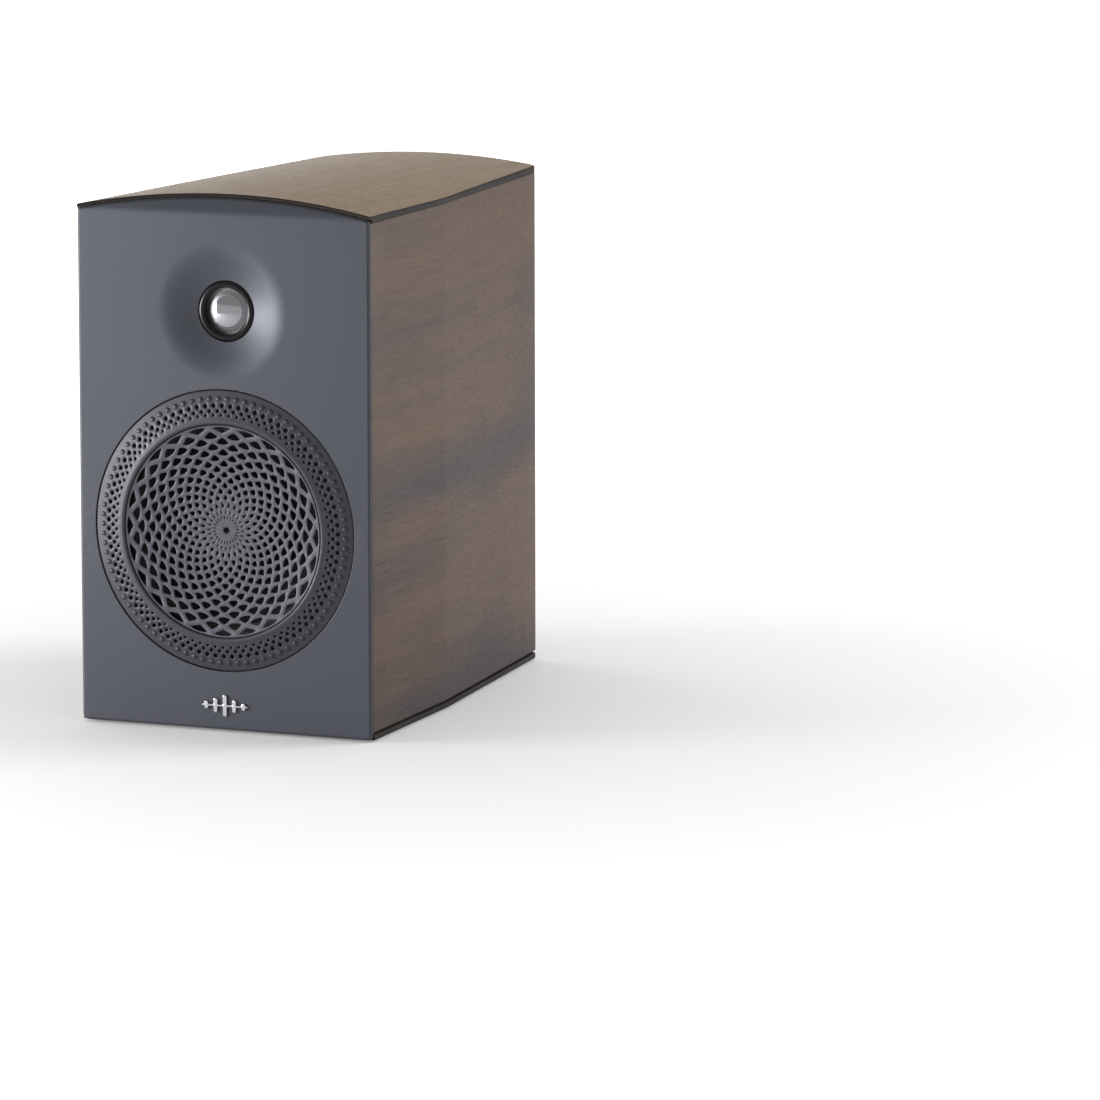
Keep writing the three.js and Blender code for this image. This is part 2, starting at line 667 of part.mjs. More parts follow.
// The lens: a shallow dish with a row of pointed openings.
function wooferLens() {
  const rim = -wooferRingProud + 0.6;
  const dishAt = (radius) => rim + wooferLensDip * (1 - (radius / wooferLensRadius) ** 2);
  const radii = [0, 0.5, 1].map((share) => share * wooferLensRadius);
  const face = radii.map((radius) => [radius, dishAt(radius)]);
  const back = radii.map((radius) => [radius, dishAt(radius) + wooferLensThickness]).reverse();
  const dish = turned([...face, ...back], largeRound, 0, wooferHeight);
  const [near, far] = [lensOpeningFrom, lensOpeningTo];
  const middle = (near + far) / 2;
  const half = (lensOpeningShare * Math.PI * middle) / lensSpokes;
  const openings = Array.from({ length: lensSpokes }, (_, i) => {
    const angle = (2 * Math.PI * i) / lensSpokes;
    const corners = [[near, 0], [middle, -half], [far, 0], [middle, half]].map(([along, across]) => [
      along * Math.cos(angle) - across * Math.sin(angle),
      wooferHeight + along * Math.sin(angle) + across * Math.cos(angle),
    ]);
    return carried(outline(corners), rim - 5, rim + wooferLensDip + 5);
  });
  return cut(dish, ...openings);
}

// The cast frame: a flange, six spokes down to the pole ring, and a ledge for the spider.
function wooferFrame() {
  const inner = wooferBasketRadius - wooferBasketWall;
  const throat = wooferCoilRadius + wooferCoilGap + 0.5;
  const ledgeY = spiderSetback + 0.6;
  const ledgeRadius = frameRearRadius - 3.2;
  const shell = turned([
    [inner, flangeFront], [inner, frameTaperY - 0.5], [frameRearRadius - 0.7, ledgeY], [ledgeRadius, ledgeY],
    [ledgeRadius, wooferRearY - 2.5], [throat, wooferRearY - 2.5], [throat, wooferRearY],
    [frameRearRadius, wooferRearY], [frameRearRadius, frameTaperEnd], [wooferBasketRadius, frameTaperY],
    [wooferBasketRadius, flangeBack], [wooferFlangeRadius, flangeBack], [wooferFlangeRadius, flangeFront],
  ].reverse(), midRound, 0, wooferHeight);
  const windowY = (frameTaperY + spiderSetback) / 2;
  const windows = Array.from({ length: 6 }, (_, i) => {
    const window = new THREE.BoxGeometry(30, frameWindowDepth, frameWindowWidth);
    window.translate(wooferBasketRadius - 10, windowY, 0);
    return solid(window.rotateY((i * Math.PI) / 3).translate(0, 0, wooferHeight));
  });
  return cut(shell, ...windows, ...wooferScrewHoles());
}

function wooferScrewHoles() {
  return wooferScrewPlaces().map(([x, z]) => (
    rod(screwRadius + screwClearance, 0, frontBoardY, tinyRound, x, z)));
}

// The outside of the basket's sloping side at a depth.
function frameRadiusAt(y) {
  const share = (y - frameTaperY) / (frameTaperEnd - frameTaperY);
  return wooferBasketRadius + (frameRearRadius - wooferBasketRadius) * share;
}

function wooferGasket() {
  const ring = tube(wooferBasketRadius + 0.6, wooferFlangeRadius, flangeBack + gap,
    flangeBack + gap + wooferGasketThickness, midRound, 0, wooferHeight);
  return cut(ring, ...wooferScrewHoles());
}

// The cone's front surface at a radius: slightly hollow between its two rims.
function coneAt(radius) {
  const share = (wooferConeRadius - radius) / (wooferConeRadius - coneNeck);
  return wooferConeSetback + wooferConeDepth * (share - wooferConeHollow * Math.sin(Math.PI * share));
}

function wooferCone() {
  const radii = [coneNeck, (coneNeck + wooferConeRadius) / 2, wooferConeRadius];
  const front = radii.map((radius) => [radius, coneAt(radius)]);
  const back = radii.map((radius) => [radius, coneAt(radius) + wooferConeThickness]).reverse();
  return turned([...front, ...back], midRound, 0, wooferHeight);
}

// A half-roll surround: a semicircle of rubber from the cone's rim to the frame.
function halfRoll(inner, outer, baseY, rise, thickness, steps, segments, centreZ) {
  const middle = (inner + outer) / 2;
  const half = (outer - inner) / 2;
  const arc = (radius, height) => Array.from({ length: steps + 1 }, (_, i) => {
    const angle = Math.PI * (1 - i / steps);
    return [middle + radius * Math.cos(angle), baseY - height * Math.sin(angle)];
  });
  const profile = [...arc(half, rise), ...arc(half - thickness, rise - thickness).reverse()];
  return turned(profile, segments, 0, centreZ);
}

// A corrugated disc: three waves between the voice coil and the frame's ledge.
function wooferSpider() {
  const [inner, outer] = [coneNeck, frameRearRadius - 1.2];
  const steps = 6;
  const wave = Array.from({ length: steps + 1 }, (_, i) => {
    const radius = inner + ((outer - inner) * i) / steps;
    return [radius, spiderSetback - 0.6 - (i % 2) * spiderWaveHeight];
  });
  const back = wave.map(([radius, y]) => [radius, y + 0.8]).reverse();
  return turned([...wave, ...back], midRound, 0, wooferHeight);
}

function sphericalCap(radius, baseY, height, thickness, steps, segments, centreZ) {
  const sphere = (radius ** 2 + height ** 2) / (2 * height);
  const bow = (r, s) => Math.sqrt(s ** 2 - r ** 2) - (sphere - height);
  const radii = Array.from({ length: steps + 1 }, (_, i) => (radius * i) / steps);
  const outer = radii.map((r) => [r, baseY - bow(r, sphere)]);
  const inner = radii.slice(0, -1).map((r) => [r, baseY - bow(r, sphere) + thickness]);
  return turned([...outer, [radius, baseY + thickness], ...inner.reverse()], segments, 0, centreZ);
}

function wooferDustCap() {
  const radius = wooferCoilRadius + dustCapOverlap;
  const baseY = coneAt(radius) - gap - wooferConeThickness;
  return sphericalCap(radius, baseY, dustCapHeight, wooferConeThickness, 3, midRound, wooferHeight);
}

function wooferVoiceCoil() {
  return tube(wooferCoilRadius - wooferCoilWall, wooferCoilRadius, coneBackY - 1.2, magnetY + 3, midRound, 0,
    wooferHeight);
}

// A steel yoke: a round plate with the pole that stands inside the voice coil, vented through the middle.
function yoke(plateRadius, poleRadius, ventRadius, poleY, plateY, backY, segments, centreZ) {
  return turned([
    [ventRadius, poleY], [poleRadius, poleY], [poleRadius, plateY], [plateRadius, plateY],
    [plateRadius, backY], [ventRadius, backY],
  ], segments, 0, centreZ);
}

// ---- Tweeter -----------------------------------------------------------------------------------------

function tweeterBezel() {
  const outer = waveguideThroat - gap;
  const middle = (outer + bezelInnerRadius) / 2;
  return turned([
    [bezelInnerRadius, fasciaDepth], [bezelInnerRadius, bezelY + 1.6], [middle, bezelY],
    [outer, bezelY + 1], [outer, fasciaDepth],
  ].reverse(), midRound, 0, tweeterHeight);
}

// The metal lens over the dome: a shallow cap with a flange held under the bezel, and a row of slots.
function tweeterLens() {
  const flange = bezelInnerRadius + lensFlange;
  const shoulder = bezelInnerRadius - 0.5;
  const middle = 0.56 * bezelInnerRadius;
  const front = [[0, tweeterPlateY - lensRise], [middle, tweeterPlateY - 0.75 * lensRise],
    [shoulder, tweeterPlateY], [flange, tweeterPlateY]];
  const back = front.map(([radius, y]) => [radius, y + lensThickness]).reverse();
  const cap = turned([...front, ...back], midRound, 0, tweeterHeight);
  const slots = Array.from({ length: lensSlots }, (_, i) => {
    const slot = new THREE.BoxGeometry(shoulder - middle - 2.5, 12, 1);
    slot.translate((shoulder + middle) / 2, tweeterPlateY, 0);
    return solid(slot.rotateY((2 * Math.PI * i) / lensSlots).translate(0, 0, tweeterHeight));
  });
  return cut(cap, ...slots);
}

function tweeterPlate() {
  const lensRoom = bezelInnerRadius + lensFlange + gap;
  const plate = tube(lensRoom, tweeterPlateRadius, tweeterPlateY, tweeterPlateBack, midRound, 0,
    tweeterHeight);
  const holes = tweeterScrewPlaces().flatMap(([x, z]) => [
    rod(screwRadius + screwClearance, 0, tweeterMagnetY, tinyRound, x, z),
    rod(screwHeadRadius + screwClearance, 0, tweeterPlateY + screwHeadThickness + gap, tinyRound, x, z),
  ]);
  return cut(plate, ...holes);
}

function tweeterVoiceCoil() {
  const outer = domeRadius - 0.1;
  const front = domeBaseY + domeThickness + gap + 0.1;
  return tube(outer - tweeterCoilWall, outer, front, tweeterMagnetY + 2, midRound, 0, tweeterHeight);
}

function chamber() {
  const radius = tweeterMagnetRadius - tweeterSteelInset + 1;
  const back = chamberY + chamberDepth;
  return turned([
    [0, back], [radius, back], [radius, chamberY], [radius - chamberWall, chamberY],
    [radius - chamberWall, back - chamberWall], [0, back - chamberWall],
  ], midRound, 0, tweeterHeight);
}

// ---- Rear --------------------------------------------------------------------------------------------

// The port: a flange on the rear board, a flared mouth and a straight tube into the cabinet.
function port() {
  const steps = 3;
  const mouth = cabinetDepth + gap + portFlangeThickness;
  const throat = mouth - portFlareLength;
  const flare = (spread, back) => Array.from({ length: steps + 1 }, (_, i) => {
    const angle = (Math.PI / 2) * (1 - i / steps);
    return [portBore + spread * (1 - Math.cos(angle)), throat + back * Math.sin(angle)];
  });
  const inner = flare(portMouthRadius - portBore, portFlareLength);
  return turned([
    [portBore, portInnerY], ...inner.slice().reverse(), [portFlangeRadius, mouth],
    [portFlangeRadius, cabinetDepth + gap], [portMouthRadius + 2.5, cabinetDepth + gap],
    [portMouthRadius + 1, cabinetDepth - 3], [portBore + portWall + 1, throat - 1],
    [portBore + portWall, throat - 4], [portBore + portWall, portInnerY],
  ], midRound, 0, portHeight);
}

function terminalPlate() {
  const shape = roundedRectangle(terminalHalfWidth, terminalHalfHeight, 6, 0, terminalHeight);
  const plate = carried(shape, cabinetDepth + gap, terminalOuterY, 3);
  const postHoles = postPlaces().map((x) => (
    rod(postRadius + gap, cabinetDepth, terminalOuterY + 1, postRound, x, terminalHeight)));
  const screwHoles = terminalScrewPlaces().map(([x, z]) => (
    rod(screwRadius + screwClearance, cabinetDepth, terminalOuterY + 1, tinyRound, x, z)));
  return cut(plate, ...postHoles, ...screwHoles);
}

function postPlaces() {
  return [-postSpacing / 2, postSpacing / 2];
}

// A binding post: a hollow threaded stud, its outer flange, and a hexagonal spacer that carries the
// crossover board inside the cabinet.
function bindingPost() {
  const flangeY = terminalOuterY + gap;
  const boardFace = crossoverBoardY + boardThickness + gap;
  const tail = crossoverBoardY - postTail;
  const tip = terminalOuterY + postLength;
  return turned([
    [0, tail], [postRadius, tail], [postRadius, boardFace], [postSpacerRadius, boardFace],
    [postSpacerRadius, cabinetDepth], [postRadius, cabinetDepth], [postRadius, flangeY],
    [postFlangeRadius, flangeY], [postFlangeRadius, flangeY + postFlangeThickness],
    [postRadius, flangeY + postFlangeThickness], [postRadius, tip], [bananaBore, tip],
    [bananaBore, tip - bananaDepth], [0, tip - bananaDepth - 1],
  ], postRound);
}

// A fluted knob that runs on the stud, with an open front for a plug.
function knob() {
  const bore = postRadius + knobClearance;
  const end = knobY + knobLength;
  const barrel = turned([
    [bore, knobY], [knobRadius - 1, knobY], [knobRadius, knobY + 1], [knobRadius, end - 1.5],
    [knobRadius - 1.5, end], [bore, end],
  ], smallRound);
  const flutes = ringPlaces(knobFlutes, knobRadius + 0.5, 0, 0).map(([x, z]) => (
    rod(1.4, knobY + 3, end - 3, 5, x, z)));
  return cut(barrel, ...flutes);
}

function clampWasher() {
  return tube(postRadius + knobClearance, knobRadius - 0.7, washerY, washerY + washerThickness, smallRound);
}

function crossoverBoard() {
  const halfWidth = terminalHalfWidth - terminalLedge - boardMargin;
  const halfHeight = terminalHalfHeight - terminalLedge - boardMargin;
  const board = block(-halfWidth, halfWidth, crossoverBoardY, crossoverBoardY + boardThickness,
    terminalHeight - halfHeight, terminalHeight + halfHeight);
  return cut(board, ...postPlaces().map((x) => (
    rod(postRadius + gap, crossoverBoardY - 1, crossoverBoardY + 3, smallRound, x, terminalHeight))));
}

const partsFace = crossoverBoardY - gap;      // where the crossover's components stand on its board

function inductor() {
  return tube(inductorBore, inductorRadius, partsFace - inductorHeight, partsFace, smallRound, -20,
    terminalHeight - 13);
}

function capacitor() {
  const body = new THREE.CylinderGeometry(capacitorRadius, capacitorRadius, capacitorLength, smallRound);
  return solid(body.rotateZ(Math.PI / 2).translate(15, partsFace - capacitorRadius, terminalHeight + 18));
}

// A twin lead as one round cable along a smooth curve through its route.
function lead(route, steps) {
  const curve = new THREE.CatmullRomCurve3(route.map((point) => new THREE.Vector3(...point)));
  const section = new THREE.Shape();
  section.absarc(0, 0, leadRadius, 0, 2 * Math.PI);
  const options = { steps, extrudePath: curve, curveSegments: 4, bevelEnabled: false };
  return solid(new THREE.ExtrudeGeometry(section, options));
}

const [tagWidth, tagDepth, tagHeight] = tagSize;
const tagBack = spiderSetback - 2;
const tagTop = wooferHeight - frameRadiusAt(tagBack - tagDepth) - gap;

const leadX = 28;                   // both leads leave the crossover board beside its components
const leadZ = terminalHeight + 6;

function wooferTag() {
  return block(-tagWidth / 2, tagWidth / 2, tagBack - tagDepth, tagBack, tagTop - tagHeight, tagTop);
}

function wooferLead() {
  const tagZ = tagTop - tagHeight / 2;
  return lead([
    [-leadX, partsFace, leadZ],
    [-leadX, partsFace - 14, leadZ],
    [-leadX, partsFace - 50, leadZ - 12],
    [-20, braceY + braceThickness + 20, tagZ + 6],
    [-16, braceY - 10, tagZ + 4],
    [-8, (braceY + tagBack) / 2, tagZ + 1],
    [0, tagBack + 14, tagZ],
    [0, tagBack + gap, tagZ],
  ], 22);
}

function tweeterLead() {
  const barHeight = (wooferHeight + tweeterHeight) / 2;
  const passZ = barHeight + braceBar / 2 + 9;
  const sideX = portBore + portWall + 10;
  const chamberBack = chamberY + chamberDepth;
  return lead([
    [leadX, partsFace, leadZ],
    [leadX, partsFace - 14, leadZ],
    [sideX, partsFace - 50, (leadZ + passZ) / 2],
    [sideX, braceY + braceThickness + 15, passZ],
    [sideX - 4, braceY - 10, passZ],
    [24, (braceY + chamberBack) / 2, (passZ + tweeterHeight) / 2],
    [0, chamberBack + 14, tweeterHeight],
    [0, chamberBack + gap, tweeterHeight],
  ], 26);
}

function wadding() {
  const yFrom = chamberY + chamberDepth + waddingClearance;
  const yTo = braceY - waddingClearance;
  const top = insideCeiling - gap;
  const shape = roundedRectangle(waddingHalfWidth, (yTo - yFrom) / 2, 10, 0, (yFrom + yTo) / 2);
  return raised(shape, top - waddingThickness, top, 2);
}

// ---- Assembly ----------------------------------------------------------------------------------------

add('side_panel_left', sidePanel(-1), veneer);
add('side_panel_right', sidePanel(1), veneer);
add('top_panel', topPanel(), veneer);
add('bottom_panel', bottomPanel(), edgeBand);
add('front_board', frontBoard(), rawBoard);
add('rear_board', rearBoard(), blackBoard);
add('window_brace', brace(), rawBoard);
add('fascia', fascia(), graphite);
add('badge', badge(), chrome);
footPlaces().forEach(([x, y], i) => add(`foot_${i + 1}`, foot(), softRubber, [x, y, 0]));

add('woofer_trim_ring', wooferTrimRing(), graphite);
add('woofer_lens', wooferLens(), graphite);
add('woofer_frame', wooferFrame(), castMetal);
add('woofer_gasket', wooferGasket(), softRubber);
add('woofer_cone', wooferCone(), coneGrey);
add('woofer_surround', halfRoll(wooferConeRadius + gap, wooferBasketRadius - wooferBasketWall - gap,
  wooferConeSetback + wooferConeThickness, surroundRise, surroundThickness, 4, midRound, wooferHeight),
softRubber);
add('woofer_spider', wooferSpider(), clothYellow);
add('woofer_voice_coil', wooferVoiceCoil(), copper);
add('woofer_dust_cap', wooferDustCap(), coneGrey);
add('woofer_pole_ring', tube(wooferCoilRadius + wooferCoilGap, wooferSteelRadius, poleRingY,
  poleRingY + wooferSteelThickness, midRound, 0, wooferHeight), steel);
add('woofer_magnet', tube(wooferCoilRadius + magnetClearance, wooferMagnetRadius, magnetY,
  magnetY + wooferMagnetThickness, midRound, 0, wooferHeight), ferrite);
add('woofer_yoke', yoke(wooferSteelRadius, wooferCoilRadius - wooferCoilWall - wooferCoilGap,
  wooferVentRadius, poleRingY, yokeY, yokeBack, midRound, wooferHeight), steel);
add('woofer_tag', wooferTag(), blackPlastic);
wooferScrewPlaces().forEach(([x, z], i) => (
  add(`woofer_screw_${i + 1}`, screw(wooferScrewLength), steel, [x, flangeFront - gap, z])));

add('tweeter_bezel', tweeterBezel(), glossBlack);
add('tweeter_lens', tweeterLens(), meshSteel);
add('tweeter_plate', tweeterPlate(), blackPlastic);
add('tweeter_dome', sphericalCap(domeRadius, domeBaseY, domeHeight, domeThickness,
  3, midRound, tweeterHeight), aluminium);
add('tweeter_surround', halfRoll(domeRadius + gap, bezelInnerRadius + lensFlange, domeBaseY + 0.2,
  tweeterSurroundRise, tweeterSurroundThickness, 3, midRound, tweeterHeight), softRubber);
add('tweeter_voice_coil', tweeterVoiceCoil(), copper);
add('tweeter_pole_ring', tube(domeRadius + tweeterCoilGap, tweeterSteelRadius, tweeterRingY,
  tweeterRingY + tweeterSteelThickness, midRound, 0, tweeterHeight), steel);
add('tweeter_magnet', tube(domeRadius + magnetClearance, tweeterMagnetRadius, tweeterMagnetY,
  tweeterMagnetY + tweeterMagnetThickness, midRound, 0, tweeterHeight), ferrite);
add('tweeter_yoke', yoke(tweeterSteelRadius, domeRadius - tweeterCoilWall - tweeterCoilGap, tweeterVentRadius,
  tweeterRingY + 0.8, tweeterYokeY, tweeterYokeY + tweeterSteelThickness, midRound, tweeterHeight), steel);
add('tweeter_chamber', chamber(), blackPlastic);
tweeterScrewPlaces().forEach(([x, z], i) => {
  const head = [x, tweeterPlateY + screwHeadThickness, z];
  add(`tweeter_screw_${i + 1}`, screw(tweeterScrewLength), steel, head);
});

add('rear_port', port(), blackPlastic);
add('terminal_plate', terminalPlate(), blackPlastic);
terminalScrewPlaces().forEach(([x, z], i) => {
  const turnedRound = screw(terminalScrewLength).rotate([0, 0, 180]);
  add(`terminal_screw_${i + 1}`, turnedRound, blackPlastic, [x, terminalOuterY + gap, z]);
});
const [redX, blackX] = postPlaces();
[['red', redX, redPlastic], ['black', blackX, blackPlastic]].forEach(([name, x, plastic]) => {
  const place = [x, 0, terminalHeight];
  add(`binding_post_${name}`, bindingPost(), gold, place);
  add(`clamp_washer_${name}`, clampWasher(), gold, place);
  add(`knob_${name}`, knob(), plastic, place);
});
add('crossover_board', crossoverBoard(), boardGreen);
add('crossover_inductor', inductor(), copper);
add('crossover_capacitor', capacitor(), capBlue);
add('woofer_lead', wooferLead(), blackPlastic);
add('tweeter_lead', tweeterLead(), blackPlastic);
add('damping_wadding', wadding(), wool);

// The origin goes to the middle of the object's box, at the soles of its feet.
const frontmost = -wooferRingProud;
const rearmost = knobY + knobLength;
speaker.position.set(0, -(frontmost + rearmost) / 2, footProud);

export default speaker;
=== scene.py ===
import math

import bmesh
import bpy
import numpy as np
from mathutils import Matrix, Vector
from mathutils.geometry import delaunay_2d_cdt


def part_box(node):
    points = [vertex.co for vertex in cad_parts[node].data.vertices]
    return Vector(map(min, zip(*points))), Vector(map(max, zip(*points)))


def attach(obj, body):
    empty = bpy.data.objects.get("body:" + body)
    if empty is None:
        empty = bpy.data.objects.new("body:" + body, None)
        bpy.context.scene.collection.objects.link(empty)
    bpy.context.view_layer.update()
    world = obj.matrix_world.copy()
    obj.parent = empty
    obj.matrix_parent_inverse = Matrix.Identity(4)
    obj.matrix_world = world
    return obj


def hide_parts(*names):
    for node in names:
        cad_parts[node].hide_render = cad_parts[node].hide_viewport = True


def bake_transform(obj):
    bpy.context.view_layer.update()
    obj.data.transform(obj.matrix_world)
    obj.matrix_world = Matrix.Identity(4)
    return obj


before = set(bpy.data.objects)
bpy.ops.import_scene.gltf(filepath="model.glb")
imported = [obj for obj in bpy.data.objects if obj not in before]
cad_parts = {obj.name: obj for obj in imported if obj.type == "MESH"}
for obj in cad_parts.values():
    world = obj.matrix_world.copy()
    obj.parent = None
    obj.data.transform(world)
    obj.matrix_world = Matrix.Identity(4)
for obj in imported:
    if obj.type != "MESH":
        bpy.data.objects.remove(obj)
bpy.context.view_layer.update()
print("frame: loaded", len(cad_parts), "nodes")

scene = bpy.context.scene
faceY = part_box("fascia")[0].y  # the fascia's front face
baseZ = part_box("bottom_panel")[0].z  # the cabinet's underside, just above its feet

# Camera

cameraSettings = {
    "place": (1.83589, -4.00216, 0.79431),
    "turn": (80.8974, 0.0651, 22.8684),  # degrees
    "lens": 229.81,
    "clipEnd": 100,
}
cameraData = bpy.data.cameras.new("camera")
cameraData.lens = cameraSettings["lens"]
cameraData.clip_end = cameraSettings["clipEnd"]
camera = bpy.data.objects.new("camera", cameraData)
camera.location = cameraSettings["place"]
camera.rotation_euler = [math.radians(angle) for angle in cameraSettings["turn"]]
scene.collection.objects.link(camera)
scene.camera = camera

# Numbers into meshes
# Every shape is worked out in millimetres: across from the cabinet's middle, behind the fascia's face,
# and up from the cabinet's underside.


def toRow(points):  # millimetres in the cabinet's own directions to metres in the row frame
    return np.asarray(points, float) * 0.001 + np.array([0, faceY, baseZ])


def boxOf(node):  # a CAD node's lowest and highest corner in millimetres
    low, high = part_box(node)
    shift = np.array([0, faceY, baseZ])
    return (np.array(low) - shift) * 1000, (np.array(high) - shift) * 1000


def middleOf(low, high, axes=(0, 2)):  # a box's middle, seen along the axis that is left out
    return ((low + high) / 2)[list(axes)]


def anglesRound(count):
    return np.arange(count) * 2 * math.pi / count


def smoothStep(share):  # 3t^2 - 2t^3, level at both ends
    share = np.clip(share, 0, 1)
    return share * share * (3 - 2 * share)


def gridFaces(rows, columns, wrapRows=False, wrapColumns=True):  # quads between neighbours on a grid
    row = np.arange(rows if wrapRows else rows - 1)[:, None]
    column = np.arange(columns if wrapColumns else columns - 1)[None, :]
    nextRow, nextColumn = (row + 1) % rows, (column + 1) % columns
    corners = [row * columns + column, row * columns + nextColumn, nextRow * columns + nextColumn,
               nextRow * columns + column]
    return np.stack([corner + 0 * (row + column) for corner in corners], -1).reshape(-1, 4)


def closedGrid(rows, columns):  # a grid's quads, and a fan to each of the two poles that follow its points
    column = np.arange(columns)
    last, final = rows * columns, (rows - 1) * columns + column
    return [gridFaces(rows, columns), np.column_stack([column, np.full(columns, last), np.roll(column, -1)]),
            np.column_stack([final, np.roll(final, -1), np.full(columns, last + 1)])]


def rounded(corners, cuts, steps=4):  # each corner gives way to a parabola that starts a cut away from it
    corners = np.asarray(corners, float)
    cuts = np.broadcast_to(np.asarray(cuts, float), len(corners))
    before = np.roll(corners, 1, 0) - corners
    after = np.roll(corners, -1, 0) - corners
    before /= np.linalg.norm(before, axis=1)[:, None] + 1e-12
    after /= np.linalg.norm(after, axis=1)[:, None] + 1e-12
    t = np.linspace(0, 1, steps + 1)[None, :, None]
    start = (corners + before * cuts[:, None])[:, None]
    end = (corners + after * cuts[:, None])[:, None]
    curve = start * (1 - t) ** 2 + corners[:, None] * 2 * t * (1 - t) + end * t ** 2
    return np.concatenate([curve[i] if cut > 0 else corners[i:i + 1] for i, cut in enumerate(cuts)])


def spaced(loop, spacing):  # a closed loop with extra points, so that no side is longer than the spacing
    following = np.roll(loop, -1, 0)
    counts = np.maximum(1, np.ceil(np.linalg.norm(following - loop, axis=1) / spacing)).astype(int)
    return np.concatenate([a + (b - a) * (np.arange(n) / n)[:, None]
                           for a, b, n in zip(loop, following, counts)])


def insetLoop(loop, distance):  # moves a loop to its left, each corner along its mitre
    edge = np.roll(loop, -1, 0) - loop
    edge /= np.linalg.norm(edge, axis=1)[:, None] + 1e-12
    left = np.column_stack([-edge[:, 1], edge[:, 0]])
    previous = np.roll(left, 1, 0)
    mitre = (left + previous) / (1 + np.sum(left * previous, 1))[:, None]
    return loop + distance * mitre


def insideLoops(points, loops):  # true where a ray to the right crosses the loops an odd number of times
    inside = np.zeros(len(points), bool)
    for loop in loops:
        following = np.roll(loop, -1, 0)
        low, high = loop[None, :, 1], following[None, :, 1]
        height = points[:, 1][:, None]
        rise = np.where(high == low, 1, high - low)
        across = loop[None, :, 0] + (height - low) / rise * (following - loop)[None, :, 0]
        crossed = ((low > height) != (high > height)) & (points[:, 0][:, None] < across)
        inside ^= crossed.sum(1) % 2 == 1
    return inside


def fillBetween(loops, inner=None):  # triangles that fill an outline round its holes, through given points
    inner = np.zeros((0, 2)) if inner is None else inner
    flat = np.concatenate([*loops, inner])
    edges, first = [], 0
    for loop in loops:
        order = first + np.arange(len(loop))
        edges += list(zip(order.tolist(), np.roll(order, -1).tolist()))
        first += len(loop)
    found = delaunay_2d_cdt([Vector(point) for point in flat.tolist()], edges, [], 0, 1e-6)
    source = np.array([given[0] for given in found[3]])
    triangles = source[np.array(found[2])]
    return triangles[insideLoops(flat[triangles].mean(1), loops)]


def gridInside(loops, spacingU, spacingV, margin):  # a regular grid's points inside and off the edges
    low, high = loops[0].min(0), loops[0].max(0)
    u, v = np.meshgrid(np.arange(low[0], high[0], spacingU), np.arange(low[1], high[1], spacingV))
    points = np.column_stack([u.ravel(), v.ravel()])
    return awayFrom(points[insideLoops(points, loops)], loops, margin)


def awayFrom(points, loops, margin):  # the points that no loop comes near
    keep = np.ones(len(points), bool)
    for loop in loops:
        gaps = np.linalg.norm(points[:, None] - spaced(loop, margin)[None], axis=2).min(1)
        keep &= gaps > margin
    return points[keep]


def slab(loops, nearAt, farAt, nearEdges, farEdges, inner=None):
    # A board between two faces w = nearAt(u, v) and w = farAt(u, v), with its outline and holes in (u, v),
    # the board on each loop's left. An edge is a list of (inset, drop) steps from the face to the wall.
    rings, sizes = [], []
    for loop, nearEdge, farEdge in zip(loops, nearEdges, farEdges):
        start = len(rings)
        for steps, faceAt, otherAt in ((nearEdge, nearAt, farAt), (farEdge, farAt, nearAt)):
            made = []
            for inset, drop in steps:
                flat = insetLoop(loop, inset)
                level = faceAt(flat)
                made.append(np.column_stack([flat, level + drop * np.sign(otherAt(flat) - level)]))
            rings += made if faceAt is nearAt else made[::-1]
        sizes.append((start, len(rings) - start, len(loop)))
    offsets = np.cumsum([0] + [len(ring) for ring in rings])
    inner = np.zeros((0, 2)) if inner is None else inner
    points = np.concatenate([*rings, np.column_stack([inner, nearAt(inner)]),
                             np.column_stack([inner, farAt(inner)])])
    walls = [offsets[start] + gridFaces(count, size) for start, count, size in sizes]
    faces = []
    for back in (0, 1):  # the near face fills each edge's first ring, and the far face its last
        chosen = [start + back * (count - 1) for start, count, size in sizes]
        source = np.concatenate([np.arange(offsets[i], offsets[i + 1]) for i in chosen]
                                + [offsets[-1] + back * len(inner) + np.arange(len(inner))])
        faces.append(source[fillBetween([rings[i][:, :2] for i in chosen], inner)])
    near, far = faces
    # The near face looks away from the far one, and each wall runs on from it.
    if farAt(rings[0][:1, :2])[0] > nearAt(rings[0][:1, :2])[0]:
        near = near[:, ::-1]
        walls = [wall[:, ::-1] for wall in walls]
    else:
        far = far[:, ::-1]
    return points, [near, *walls, far]


def upright(shape):  # a slab's (across, up, depth) turned to (across, depth, up)
    return shape[0][:, [0, 2, 1]], shape[1]


def turnedShape(profile, sides, centre=(0, 0), along="y"):
    # A profile of (radius, distance along the axis) carried round the axis. A profile that starts and ends
    # on the axis closes at two poles, and any other closes on itself.
    profile = np.asarray(profile, float)
    poles = profile[0, 0] < 1e-6
    rows = profile[1:-1] if poles else profile
    angle = anglesRound(sides)
    radius, level = rows[:, 0][:, None], rows[:, 1][:, None]
    points = np.stack([radius * np.sin(angle), radius * np.cos(angle), level + 0 * angle], -1).reshape(-1, 3)
    if poles:
        points = np.concatenate([points, [[0, 0, profile[0, 1]], [0, 0, profile[-1, 1]]]])
        groups = closedGrid(len(rows), sides)
    else:
        groups = [gridFaces(len(rows), sides, wrapRows=True)]
    order, shift = {
        "x": ([2, 0, 1], (0, centre[0], centre[1])),
        "y": ([0, 2, 1], (centre[0], 0, centre[1])),
        "z": ([0, 1, 2], (centre[0], centre[1], 0)),
    }[along]
    return points[:, order] + np.array(shift), groups


